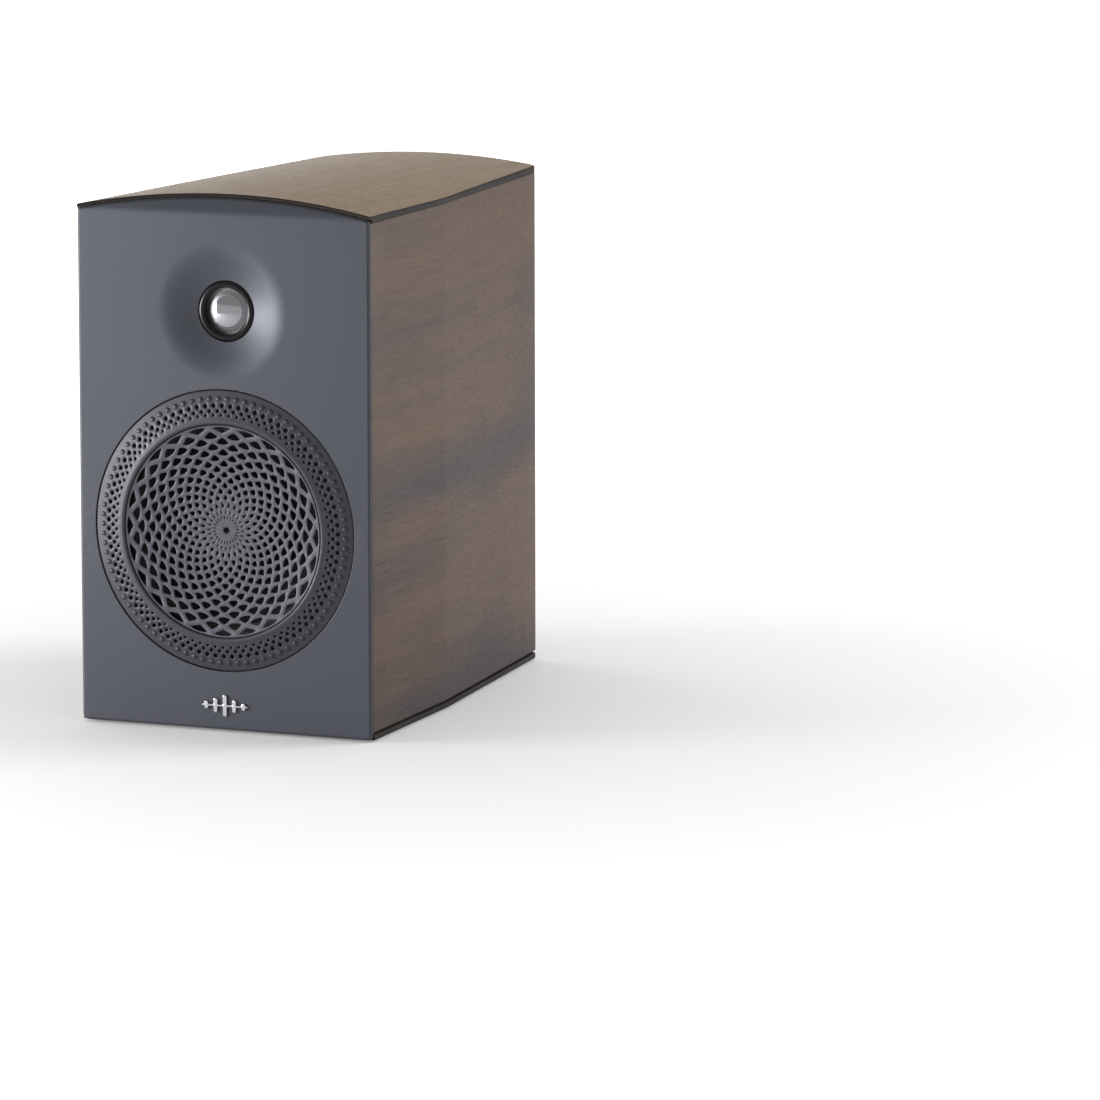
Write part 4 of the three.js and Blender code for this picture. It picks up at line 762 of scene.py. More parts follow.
def fasciaPiece():
    half, corner = cabinet["frontHalfWidth"], fasciaShape["corner"]
    x = np.linspace(half, -half, 61)
    arch = np.column_stack([x, archTop(x) - cabinet["topLip"] - 0.3])
    arch[0, 0], arch[-1, 0] = half, -half
    foot = rounded([[-half, 0], [half, 0], [half, 60], [-half, 60]], [corner, corner, 0, 0], 7)
    foot = foot[foot[:, 1] < 50]
    right = np.column_stack([np.full(30, half), np.linspace(corner + 8, arch[0, 1] - 6, 30)])
    top = rounded(np.concatenate([[[half, arch[0, 1] - 5]], arch, [[-half, arch[-1, 1] - 5]]]),
                  [0, 3, *[0] * 59, 3, 0], 5)
    left = (right * [-1, 1])[::-1]
    loop = np.concatenate([foot, right, top, left])
    hole = circle(fasciaShape["ringHole"], wooferCentre, 172)[::-1]
    throat = circle(fasciaShape["throat"], tweeterCentre, 96)[::-1]
    radii = np.arange(fasciaShape["throat"] + 1.1, fasciaShape["dish"] + 5, 1.25)
    rings = [circle(radius, tweeterCentre, 96, 0.03 * i) for i, radius in enumerate(radii)]
    browX, browZ = np.meshgrid(np.arange(-96, 96.1, 4), np.arange(314.5, 329, 0.75))
    browPoints = np.column_stack([browX.ravel(), browZ.ravel()])
    browPoints = browPoints[insideLoops(browPoints, [insetLoop(loop, 2.6)])]
    plain = gridInside([loop, hole], 9, 9, 5)
    clear = np.linalg.norm(plain - tweeterCentre, axis=1) > fasciaShape["dish"] + 9
    plain = plain[clear & (plain[:, 1] < 308)]
    inner = np.concatenate([*rings, browPoints, plain])
    bevel = fasciaShape["bevel"]
    outer = [(bevel + 0.35, 0), (bevel + 0.05, 0.05), (bevel - 0.2, 0.22), (0.18, bevel - 0.18),
             (0.03, bevel + 0.05), (0, bevel + 0.3)]
    shape = slab([loop, hole, throat], fasciaFront, lambda flat: fasciaFront(flat) + fasciaShape["rim"],
                 [outer, roundEdge(0.35), roundEdge(0.2, 2)], [roundEdge(0.2, 1)] * 3, inner)
    return makePiece("graphiteFascia", upright(shape), "cabinet", graphite, "fascia", sharp=50)


fasciaPiece()
print("fascia: plate, dish and brow")

# Perforated rings


def polar(angle, radius):  # clockwise from the top
    return np.column_stack([radius * np.sin(angle), radius * np.cos(angle)])


def perforated(folds, side, divisions, holes, humps, frontAt, backAt, rim=0.15, blind=None):
    # One sector between a line and its turned copy is filled round its holes, and then carried round the
    # axis; each copy's right-hand edge is the next one's left-hand edge.
    # holes are anticlockwise loops, humps are (centre, radius, height), side is (angle, radius) outside in.
    pitch = 2 * math.pi / folds
    part = np.arange(1, divisions) / divisions * pitch
    left, right = polar(side[:, 0], side[:, 1]), polar(side[:, 0] + pitch, side[:, 1])
    innerRow = polar(side[-1, 0] + part, np.full(divisions - 1, side[-1, 1]))
    outerRow = polar(side[0, 0] + part, np.full(divisions - 1, side[0, 1]))
    boundary = np.concatenate([left, innerRow, right[::-1], outerRow[::-1]])
    rims = [insetLoop(hole, -rim) for hole in holes]
    inner = [np.zeros((0, 2))]
    for centre, radius, height in humps:
        inner += [circle(radius * share, centre, count) for share, count in
                  ((1.0, 12), (0.86, 12), (0.62, 9), (0.32, 6))] + [np.array([centre])]
    inner = np.concatenate(inner)
    triangles = fillBetween([boundary, *rims], inner)[:, ::-1]
    surface = np.concatenate([boundary, *rims, inner])
    depth = frontAt(np.linalg.norm(surface, axis=1))
    for centre, radius, height in humps:
        share = np.clip(np.linalg.norm(surface - centre, axis=1) / radius, 0, 1)
        depth = depth - height * np.sqrt(1 - share ** 2)
    count = len(surface)
    sheets = [np.column_stack([surface, depth])]
    # Painted shade for each point: none on the face, some at the hole mouths, full at blind hole bottoms.
    holeShades = [np.zeros(count)]
    mouths = np.concatenate(holes) if holes else np.zeros((0, 2))
    mouthDepth = frontAt(np.linalg.norm(mouths, axis=1))
    sheets.append(np.column_stack([mouths, mouthDepth + rim * 0.8]))
    holeShades.append(np.full(len(mouths), 0.25))
    groups = [triangles]
    if blind is None:
        sheets.append(np.column_stack([surface, backAt(np.linalg.norm(surface, axis=1))]))
        holeShades.append(np.full(count, 0.0))
        groups.append(count + len(mouths) + triangles[:, ::-1])
    else:
        sheets.append(np.column_stack([mouths, mouthDepth + blind]))
        holeShades.append(np.ones(len(mouths)))
    rimStart, mouthStart = len(boundary), count
    for hole in holes:
        size = len(hole)
        order = np.arange(size)
        following = (order + 1) % size
        groups.append(np.column_stack([rimStart + order, mouthStart + order, mouthStart + following,
                                       rimStart + following]))
        below = len(mouths) + (count + rimStart if blind is None else mouthStart)
        groups.append(np.column_stack([mouthStart + order, below + order, below + following,
                                       mouthStart + following]))
        if blind is not None:
            groups.append((below + order)[None])
        rimStart += size
        mouthStart += size
    template = np.concatenate(sheets)
    holeShade = np.concatenate(holeShades)
    size = len(template)
    # The right-hand side's points stand for the next copy's left-hand ones.
    same, step = np.arange(size), np.zeros(size, int)
    sides, rows = len(left), len(innerRow)
    rightIndex = np.arange(sides + rows, 2 * sides + rows)[::-1]
    same[rightIndex], step[rightIndex] = np.arange(sides), 1
    if blind is None:
        back = count + len(mouths)
        same[back + rightIndex], step[back + rightIndex] = back + np.arange(sides), 1
    turn = (np.arange(folds) * pitch)[:, None]
    u = template[None, :, 0] * np.cos(turn) + template[None, :, 1] * np.sin(turn)
    v = template[None, :, 1] * np.cos(turn) - template[None, :, 0] * np.sin(turn)
    points = np.stack([u, v, template[None, :, 2] + 0 * u], -1).reshape(-1, 3)
    index = ((np.arange(folds)[:, None] + step[None]) % folds) * size + same[None]
    groups = [index[:, group].reshape(-1, group.shape[1]) for group in groups]
    innerIndex = np.concatenate([[sides - 1], np.arange(sides, sides + rows)])
    outerIndex = np.concatenate([[0], np.arange(2 * sides + rows, 2 * sides + 2 * rows)[::-1]])
    loops = {"outer": index[:, outerIndex].ravel(), "inner": index[:, innerIndex].ravel()}
    if blind is None:
        loops["backOuter"] = index[:, back + outerIndex].ravel()
        loops["backInner"] = index[:, back + innerIndex].ravel()
    return points, groups, loops, np.tile(holeShade, folds)


def bridged(points, groups, holeShade, firstLoop, rows, lastLoop=None):
    # Circles of (radius, depth) at the first loop's angles lead from it to the last loop, or just end.
    angle = np.arctan2(points[firstLoop, 0], points[firstLoop, 1])
    count = len(firstLoop)
    circles = [np.column_stack([polar(angle, radius), np.full(count, depth)]) for radius, depth in rows]
    indexes = [firstLoop] + [len(points) + i * count + np.arange(count) for i in range(len(rows))]
    if lastLoop is not None:
        around = np.arctan2(points[lastLoop, 0], points[lastLoop, 1])
        gap = np.abs(np.exp(1j * around) - np.exp(1j * angle[0]))
        indexes.append(np.roll(lastLoop, -int(np.argmin(gap))))
    grid = np.stack(indexes)
    quads = gridFaces(len(grid), count)
    points = np.concatenate([points, *circles])
    return points, groups + [grid.ravel()[quads]], np.concatenate([holeShade, np.zeros(len(rows) * count)])


def placedRound(points, centre):  # (across, up, depth) about an axis to (across, depth, up) in the cabinet
    return points[:, [0, 2, 1]] + np.array([centre[0], 0, centre[1]])


trimRing = {
    "folds": 86, "outer": 87.0, "crest": 67.8, "inner": 66.1, "proud": 3.3, "back": 2.3,
    "studRow": 82.0, "studRadius": 1.75, "studHeight": 0.95, "mouth": 0.14, "holeDepth": 1.7,
    "holeRows": [(77.7, 1.38, 0), (74.5, 1.12, 1), (72.0, 0.84, 0)],  # radius, hole radius, half a pitch on
}


def ringFront(radius):  # a gentle slope from the rim up to the crest
    share = np.clip((radius - trimRing["crest"]) / (trimRing["outer"] - trimRing["crest"]), 0, 1)
    return -trimRing["proud"] + (trimRing["proud"] + 0.45) * share ** 1.12


def trimRingPiece():
    half = math.pi / trimRing["folds"]
    side = np.array([(0, 86.3), (0, 84.4), (0, 82.6), (0, 80.8), (-1, 78.9), (-1, 77.27), (0, 74.95),
                     (0, 74.64), (-1, 71.84), (-1, 70.0)], float) * [half, 1]
    holes = [circle(size, (radius * math.sin(half * on), radius * math.cos(half * on)), 12)
             for radius, size, on in trimRing["holeRows"]]
    stud = np.array([trimRing["studRow"] * math.sin(half), trimRing["studRow"] * math.cos(half)])
    humps = [(stud, trimRing["studRadius"], trimRing["studHeight"])]
    points, groups, loops, holeShade = perforated(trimRing["folds"], side, 4, holes, humps, ringFront, None,
                                             rim=trimRing["mouth"], blind=trimRing["holeDepth"])
    crest, inner, back, proud = (trimRing[key] for key in ("crest", "inner", "back", "proud"))
    rows = [(86.7, 0.47), (86.93, 0.62), (87.0, 0.9), (87.0, 2.2), (86.8, back), (inner + 0.4, back),
            (inner, back - 0.4), (inner, -proud + 1.5), (inner + 0.12, -proud + 0.85),
            (inner + 0.5, -proud + 0.3), (inner + 1.0, -proud + 0.05), (crest, -proud - 0.02),
            (crest + 1.0, -proud + 0.06)]
    points, groups, holeShade = bridged(points, groups, holeShade, loops["outer"], rows, loops["inner"])
    return makePiece("perforatedTrimRing", (placedRound(points, wooferCentre), groups), "cabinet",
                     ringPaint, "woofer_trim_ring", holeShade=holeShade, sharp=45)


wooferGrille = {
    "folds": 24, "outer": 65.7, "hub": 5.4, "rim": -2.7, "dip": 5.8, "thickness": 0.8,
    # radius, half angle in degrees, half height
    "rows": [(62.75, 5.2, 2.05), (59.4, 4.5, 2.25), (55.75, 4.4, 2.2), (52.2, 4.3, 2.15), (48.75, 4.2, 2.1),
             (45.3, 4.15, 2.05), (41.75, 4.1, 2.0), (38.3, 4.05, 1.95), (34.85, 4.0, 1.9), (31.4, 3.95, 1.85),
             (28.0, 3.9, 1.8), (24.5, 3.85, 1.75), (20.6, 3.75, 1.7), (15.9, 3.4, 1.65), (11.3, 2.1, 1.1),
             (7.8, 2.5, 1.15)],
}


def grilleFront(radius):  # a shallow bowl
    share = np.minimum(radius / wooferGrille["outer"], 1)
    return wooferGrille["rim"] + wooferGrille["dip"] * (1 - share ** 2)


def grilleOpening(index, radius, halfAngle, halfHeight):
    # A kite in (angle, radius), its point outwards and its widest place nearer the hub. The outermost row
    # is a fan with its arc outwards, and the innermost rows are short slits.
    if index == 0:
        right = [(0, -1), (0.42, -0.35), (0.98, 0.42), (0.92, 0.72), (0.5, 0.93), (0, 1.0)]
        cuts = [0.25, 0.3, 0.16, 0.12, 0, 0]
    elif radius < 12:
        right = [(0, -1), (0.8, -0.7), (1.0, 0), (0.6, 0.75), (0, 1)]
        cuts = [0.2, 0.2, 0.3, 0.2, 0.2]
    else:
        right = [(0, -1.0), (0.62, -0.88), (1.0, -0.42), (0.52, 0.42), (0, 1.0)]
        cuts = [0, 0.2, 0.16, 0, 0.14]
    right = np.array(right)
    left = right[1:-1][::-1] * [-1, 1]
    shape = rounded(np.concatenate([right, left]), cuts + cuts[1:-1][::-1], 2)
    turn = math.radians(180 / wooferGrille["folds"]) * (index % 2)
    return polar(turn + shape[:, 0] * math.radians(halfAngle), radius + shape[:, 1] * halfHeight)


def wooferGrillePiece():
    rows = wooferGrille["rows"]
    half = math.pi / wooferGrille["folds"]
    holes = [grilleOpening(i, *row) for i, row in enumerate(rows)]
    holes = [hole if np.sum(np.cross(hole, np.roll(hole, -1, 0))) > 0 else hole[::-1] for hole in holes]
    turns = [half * (i % 2) - half for i in range(len(rows))]
    side = [(turns[0], 65.2)] + [(turn, row[0] - 0.1 * row[2]) for turn, row in zip(turns, rows)]
    side = np.array(side + [(turns[-1], wooferGrille["hub"])])
    thickness = wooferGrille["thickness"]
    points, groups, loops, holeShade = perforated(wooferGrille["folds"], side, 4, holes, [], grilleFront,
                                             lambda radius: grilleFront(radius) + thickness, rim=0.13)
    outer = wooferGrille["outer"]
    edge = grilleFront(outer)
    points, groups, holeShade = bridged(points, groups, holeShade, loops["outer"], [
        (outer - 0.2, edge + 0.03), (outer - 0.04, edge + 0.15), (outer, edge + 0.4),
        (outer, edge + thickness - 0.1), (outer - 0.1, edge + thickness)], loops["backOuter"])
    # The hub: a plain disc round an eight-pointed opening.
    star = np.concatenate([polar(np.array([a, a + math.pi / 8]), np.array([3.1, 1.6]))
                           for a in np.arange(8) * math.pi / 4])[::-1]
    star = spaced(star, 0.6)
    hub = points[loops["inner"]][::-1]
    triangles = fillBetween([hub[:, :2], star[::-1]])
    middle = np.concatenate([loops["inner"][::-1], len(points) + np.arange(len(star))[::-1]])
    behind = np.concatenate([loops["backInner"][::-1], len(points) + len(star) + np.arange(len(star))[::-1]])
    centre = grilleFront(0.0)
    order = np.arange(len(star))
    groups += [middle[triangles][:, ::-1], behind[triangles]]
    groups.append(np.column_stack([order, np.roll(order, -1), np.roll(order, -1) + len(star),
                                   order + len(star)])[:, ::-1] + len(points))
    points = np.concatenate([points, np.column_stack([star, np.full(len(star), centre)]),
                             np.column_stack([star, np.full(len(star), centre + thickness)])])
    holeShade = np.concatenate([holeShade, np.zeros(2 * len(star))])
    return makePiece("spiralGrille", (placedRound(points, wooferCentre), groups), "cabinet",
                     lensPaint, "woofer_lens", holeShade=holeShade, sharp=45)


trimRingPiece()
wooferGrillePiece()
print("woofer: trim ring and grille")

# Woofer behind the grille

woofer = {
    "coneRadius": 60.0, "coneFront": 14.0, "coneDepth": 24.0, "hollow": 0.12, "neck": 19.7,
    "coneThickness": 0.9, "capRadius": 22.4, "capRise": 8.0, "coil": 19.4, "coilWall": 0.7,
    "surroundOuter": 70.6, "surroundFoot": 11.2, "surroundCrest": 6.6, "surroundWall": 0.8,
    "spiderOuter": 46.0, "spiderFront": 44.6, "spiderSlope": 3.1, "spiderWaves": 6, "spiderWave": 1.3,
    "sides": 144, "pressedRings": (30.0, 40.0, 50.0), "pressDepth": 0.35, "pressWidth": 1.3,
}


def coneFrontAt(radius):  # the straight line from rim to neck, bowed by a half sine
    share = (woofer["coneRadius"] - radius) / (woofer["coneRadius"] - woofer["neck"])
    return woofer["coneFront"] + woofer["coneDepth"] * (share - woofer["hollow"] * np.sin(math.pi * share))


def thickProfile(line, thickness):  # an open line of (radius, depth) given a wall behind it
    slope = np.gradient(line, axis=0)
    slope /= np.linalg.norm(slope, axis=1)[:, None]
    behind = line + thickness * np.column_stack([-slope[:, 1], slope[:, 0]]) * np.sign(slope[:, :1].sum())
    return np.concatenate([line, behind[::-1]])


def wooferCone():
    radius = np.linspace(woofer["neck"], woofer["coneRadius"], 25)
    # Three shallow pressed rings stiffen the cone: each is a narrow bell curve.
    press = sum(woofer["pressDepth"] * np.exp(-((radius - at) / woofer["pressWidth"]) ** 2)
                for at in woofer["pressedRings"])
    line = np.column_stack([radius, coneFrontAt(radius) - press])
    shape = turnedShape(thickProfile(line, woofer["coneThickness"]), woofer["sides"], wooferCentre)
    return makePiece("wooferConePaper", shape, "woofer_mover", coneShadedBlack, "woofer_cone")


def dustCap():
    share = np.linspace(0, 1, 13)
    base = coneFrontAt(woofer["capRadius"]) - 1.3
    line = np.column_stack([woofer["capRadius"] * share, base - woofer["capRise"] * (1 - share ** 2)])
    profile = np.concatenate([line, (line + [0, 0.9])[::-1]])
    shape = turnedShape(profile, 96, wooferCentre)
    return makePiece("wooferDustCap", shape, "woofer_mover", coneShadedBlack, "woofer_dust_cap")


def wooferSurround():
    # A half roll from the basket's inner wall forward over a crest and back to the cone's rim.
    inner, outer = woofer["coneRadius"] + 0.4, woofer["surroundOuter"]
    turn = np.linspace(0, math.pi, 25)
    middle, half = (inner + outer) / 2, (outer - inner) / 2 - 0.5
    crest, foot = woofer["surroundCrest"], woofer["surroundFoot"]
    roll = np.column_stack([middle + half * np.cos(turn), foot - (foot - crest) * np.sin(turn)])
    roll[13:, 1] += (turn[13:] - math.pi / 2) / (math.pi / 2) * 3.6
    line = np.concatenate([[[outer, foot]], roll, [[inner, roll[-1, 1] + 0.5]]])
    shape = turnedShape(thickProfile(line[::-1], -woofer["surroundWall"]), 120, wooferCentre)
    piece = makePiece("wooferSurroundRubber", shape, None, rubber, "woofer_surround")
    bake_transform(piece)


def spider():
    # Rings of waves on a slope: the inner edge, on the coil, stands in front of the outer one on the basket.
    inner, outer = woofer["neck"], woofer["spiderOuter"]
    radius = np.linspace(inner, outer, 73)
    share = (radius - inner) / (outer - inner)
    wave = np.sin(2 * math.pi * woofer["spiderWaves"] * share)
    depth = woofer["spiderFront"] + woofer["spiderSlope"] * share + 0.5 * woofer["spiderWave"] * wave
    shape = turnedShape(thickProfile(np.column_stack([radius, depth]), 0.5), 96, wooferCentre)
    piece = makePiece("wooferSpider", shape, None, spiderCloth, "woofer_spider")
    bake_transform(piece)


def wound(radius, wall, front, back, wire):  # a coil's profile: each turn of wire is a half circle outside
    turns = int((back - front) / wire)
    depth = np.linspace(front, back, turns * 6 + 1)
    outside = radius - 0.3 * wire * (1 - np.abs(np.sin(math.pi * (depth - front) / wire)))
    inner = radius - wall
    return np.concatenate([np.column_stack([outside, depth]), [[inner, back], [inner, front]]])


def steelRing(node, name, finish, bore, edge=0.7, sides=120):  # a flat ring with its edges eased
    low, high = boxOf(node)
    outer = (high[0] - low[0]) / 2
    profile = rounded([[bore, low[1]], [outer, low[1]], [outer, high[1]], [bore, high[1]]],
                      [edge * 0.6, edge, edge, edge * 0.6], 3)
    shape = turnedShape(profile, sides, middleOf(low, high))
    return makePiece(name, shape, "cabinet", finish, node)


def yokePiece(node, name, pole, vent, plate):  # a plate with a hollow pole that reaches through the magnet
    low, high = boxOf(node)
    outer, face = (high[0] - low[0]) / 2, high[1] - plate
    profile = rounded([[vent, low[1]], [pole, low[1]], [pole, face], [outer, face], [outer, high[1]],
                       [vent, high[1]]], [0.6, 0.8, 0, 0.8, 0.8, 0.6], 3)
    return makePiece(name, turnedShape(profile, 96, middleOf(low, high)), "cabinet", steel, node)


def ringed(radius, depth, angle):  # rings of points round an axis that runs from front to back
    return np.stack([radius * np.sin(angle), depth + 0 * angle, radius * np.cos(angle)], -1).reshape(-1, 3)


screw = {
    "head": 3.15, "headHeight": 1.75, "dome": 0.75, "recessHalfWidth": 0.36, "recessReach": 1.75,
    "recessDepth": 0.95, "shank": 1.85, "pitch": 1.3, "threadDepth": 0.32, "sides": 32,
    "headRadii": [0.35, 0.7, 1.05, 1.4, 1.7, 2.0, 2.5, 2.9, 3.15],
}


def screwPiece(node, name, finish, facing):
    # A pan head with a cross recess on a threaded shank. The head is a polar grid whose depth is a dome, less
    # the recess where the point lies near either of two crossed lines; the thread is a screw line's ripple.
    low, high = boxOf(node)
    centre = middleOf(low, high)
    front, length = (low[1] if facing < 0 else high[1]), high[1] - low[1]
    head, thick, shank = screw["head"], screw["headHeight"], screw["shank"]
    angle = anglesRound(screw["sides"])
    radius = np.array(screw["headRadii"])[:, None]
    nearest = np.minimum(np.abs(radius * np.sin(angle)), np.abs(radius * np.cos(angle)))
    recess = screw["recessDepth"] * (nearest < screw["recessHalfWidth"]) * (radius < screw["recessReach"])
    rows = [ringed(radius, screw["dome"] * (radius / head) ** 3 + recess, angle)]
    rows += [ringed(r, depth, angle) for r, depth in ((head, thick), (shank, thick), (shank, thick + 0.6))]
    depth = np.linspace(thick + 0.8, length - 1.2, int(length * 2.2))[:, None]
    ripple = 0.5 - 0.5 * np.cos(angle - 2 * math.pi * depth / screw["pitch"])
    rows += [ringed(shank - screw["threadDepth"] * ripple, depth, angle),
             [[0, screw["recessDepth"], 0], [0, length, 0]]]
    points = np.concatenate(rows)
    groups = closedGrid(len(points) // screw["sides"], screw["sides"])
    points = points * [1, -facing, 1] + [centre[0], front, centre[1]]
    return makePiece(name, (points, groups), "cabinet", finish, node, sharp=40)


wooferCone()
dustCap()
wooferSurround()
spider()
low, high = boxOf("woofer_voice_coil")
coil = wound(woofer["coil"], woofer["coilWall"], low[1], high[1], 0.8)
makePiece("wooferVoiceCoil", turnedShape(coil, 96, wooferCentre), "woofer_mover", copper,
          "woofer_voice_coil")
softened("woofer_frame", "wooferBasket", castMetal, 0.5)
softened("woofer_tag", "wooferTerminalTag", blackPlastic, 0.5)
steelRing("woofer_gasket", "wooferGasket", rubber, 74.5, 0.2)
steelRing("woofer_pole_ring", "wooferPoleRing", steel, 20.0)
steelRing("woofer_magnet", "wooferMagnet", ferrite, 24.0, 1.2)
yokePiece("woofer_yoke", "wooferYoke", 18.1, 5.0, 5.7)
for i in range(1, 5):
    screwPiece(f"woofer_screw_{i}", f"wooferScrew{i}", steel, -1)
print("woofer: cone, suspension, motor and screws")

# Tweeter

tweeter = {
    "bezelInner": 14.2, "bezelOuter": 18.6, "bezelFront": 4.9,
    "dome": 12.6, "domeBase": 12.3, "domeRise": 3.4,
    "guardRadius": 15.4, "guardDepth": 8.6, "discRadius": 9.4, "discRise": 0.9, "guardWall": 0.6,
    "slots": 48, "slotWidth": 0.5, "slotRows": [(10.6, 0.55), (12.0, 0.6), (13.4, 0.58)],
    # the disc's front and back as (radius, depth), and the radius in metres that is polished
    "discFront": [(9.4, 7.66), (9.2, 7.6), (8.9, 7.54), (8.2, 7.41), (7, 7.22), (5, 6.99), (3, 6.85),
                  (1.2, 6.785)],
    "discBack": [(9.4, 8.3), (5, 8.25), (1.2, 8.25)], "polished": 0.0095,
}


def bezelPiece():  # a glossy ring, fully rounded in front
    back = boxOf("tweeter_bezel")[1][1]
    inner, outer, front = tweeter["bezelInner"], tweeter["bezelOuter"], tweeter["bezelFront"]
    turn = np.linspace(0, math.pi, 15)
    middle, half = (inner + outer) / 2, (outer - inner) / 2
    nose = np.column_stack([middle - half * np.cos(turn), front + 1.5 - 1.5 * np.sin(turn)])
    profile = np.concatenate([[[inner, back]], nose, [[outer, back]]])
    return makePiece("tweeterBezel", turnedShape(profile, 120, tweeterCentre), "cabinet",
                     glossBlack, "tweeter_bezel", sharp=50)


def guardFront(radius):  # a shallow dish round a raised disc
    radius = np.asarray(radius, float)
    disc = tweeter["discRadius"]
    rise = tweeter["discRise"] * smoothStep((tweeter["guardRadius"] - 1.2 - radius)
                                            / (tweeter["guardRadius"] - 1.2 - disc))
    return tweeter["guardDepth"] - rise


def tweeterDome():
    share = np.linspace(0, 1, 15)
    line = np.column_stack([tweeter["dome"] * share,
                            tweeter["domeBase"] - tweeter["domeRise"] * (1 - share ** 2)])
    profile = np.concatenate([line, (line + [0, 0.4])[::-1]])
    shape = turnedShape(profile, 96, tweeterCentre)
    return makePiece("tweeterDome", shape, "tweeter_mover", domeMetalShaded, "tweeter_dome")


def tweeterSurround():
    low, high = boxOf("tweeter_surround")
    turn = np.linspace(0, math.pi, 13)
    inner, outer = 13.0, (high[0] - low[0]) / 2
    middle, half = (inner + outer) / 2, (outer - inner) / 2
    line = np.column_stack([middle - half * np.cos(turn), 12.3 - 0.75 * np.sin(turn)])
    line[:6, 1] += 0.25 * (1 - turn[:6] / (math.pi / 2))
    shape = turnedShape(thickProfile(line, 0.3), 96, tweeterCentre)
    piece = makePiece("tweeterSurround", shape, None, rubber, "tweeter_surround")
    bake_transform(piece)


def guardPiece():
    # The perforated band, closed in the middle by a disc's own front and back.
    folds = tweeter["slots"]
    half = math.pi / folds
    angle = np.arange(8) * math.pi / 4
    holes = []
    for row, (radius, halfHeight) in enumerate(tweeter["slotRows"]):
        turn = half * (row % 2)
        u, v = tweeter["slotWidth"] * np.cos(angle), halfHeight * np.sin(angle)
        holes.append(np.column_stack([(radius + v) * math.sin(turn) + u * math.cos(turn),
                                      (radius + v) * math.cos(turn) - u * math.sin(turn)]))
    turns = [half * (row % 2) - half for row in range(3)]
    side = np.array([(turns[2], 14.15), (turns[2], 13.4), (turns[1], 12.0), (turns[0], 10.6),
                     (turns[0], 9.8)])
    wall = tweeter["guardWall"]
    points, groups, loops, holeShade = perforated(folds, side, 2, holes, [], guardFront,
                                             lambda r: guardFront(r) + wall, rim=0.05)
    edge = tweeter["guardRadius"]
    points, groups, holeShade = bridged(points, groups, holeShade, loops["outer"], [
        (14.5, 8.6), (edge, 8.6), (edge, 8.6 + wall), (14.5, 8.6 + wall)], loops["backOuter"])
    points, groups, holeShade = bridged(points, groups, holeShade, loops["inner"], tweeter["discFront"])
    order = np.arange(len(loops["inner"]))
    count = len(order)
    front = len(points) - count + order
    points, groups, holeShade = bridged(points, groups, holeShade, loops["backInner"], tweeter["discBack"])
    back = len(points) - count + order
    tip = len(points)
    groups.append(np.column_stack([front, np.roll(front, -1), np.full(count, tip)]))
    groups.append(np.column_stack([np.roll(back, -1), back, np.full(count, tip + 1)]))
    points = np.concatenate([points, [[0, 0, 6.76], [0, 0, 8.25]]])
    holeShade = np.concatenate([holeShade, [0, 0]])
    piece = makePiece("tweeterGuard", (placedRound(points, tweeterCentre), groups), "cabinet",
                      [meshSteel, polished], "tweeter_lens", holeShade=holeShade, sharp=40)
    centres = np.zeros(len(piece.data.polygons) * 3)
    piece.data.polygons.foreach_get("center", centres)
    centres = centres.reshape(-1, 3)
    middle = toRow([[0, 0, tweeterCentre[1]]])[0]
    far = np.linalg.norm((centres - middle)[:, [0, 2]], axis=1)
    piece.data.polygons.foreach_set("material_index", (far < tweeter["polished"]).astype(np.int32))


bezelPiece()
guardPiece()
tweeterDome()
tweeterSurround()
low, high = boxOf("tweeter_voice_coil")
coil = wound(tweeter["dome"], 0.5, low[1], high[1], 0.4)
makePiece("tweeterVoiceCoil", turnedShape(coil, 96, tweeterCentre), "tweeter_mover", copper,
          "tweeter_voice_coil")
softened("tweeter_plate", "tweeterFaceplate", blackPlastic, 0.4)
steelRing("tweeter_pole_ring", "tweeterPoleRing", steel, 13.2, 0.5)
steelRing("tweeter_magnet", "tweeterMagnet", ferrite, 17.2, 1.0)
yokePiece("tweeter_yoke", "tweeterYoke", 11.5, 3.0, 3.5)
softened("tweeter_chamber", "tweeterRearChamber", blackPlastic, 0.8, 3)
for i in range(1, 3):
    screwPiece(f"tweeter_screw_{i}", f"tweeterScrew{i}", steel, -1)
print("tweeter: bezel, guard, dome and motor")

# Badge

badge = {"height": 15.4, "width": 31.0, "bars": [5, 9, 13.5, 8, 4.5], "barWidth": 2.6, "ends": 1.6,
         "line": 1.2, "proud": 1.2}


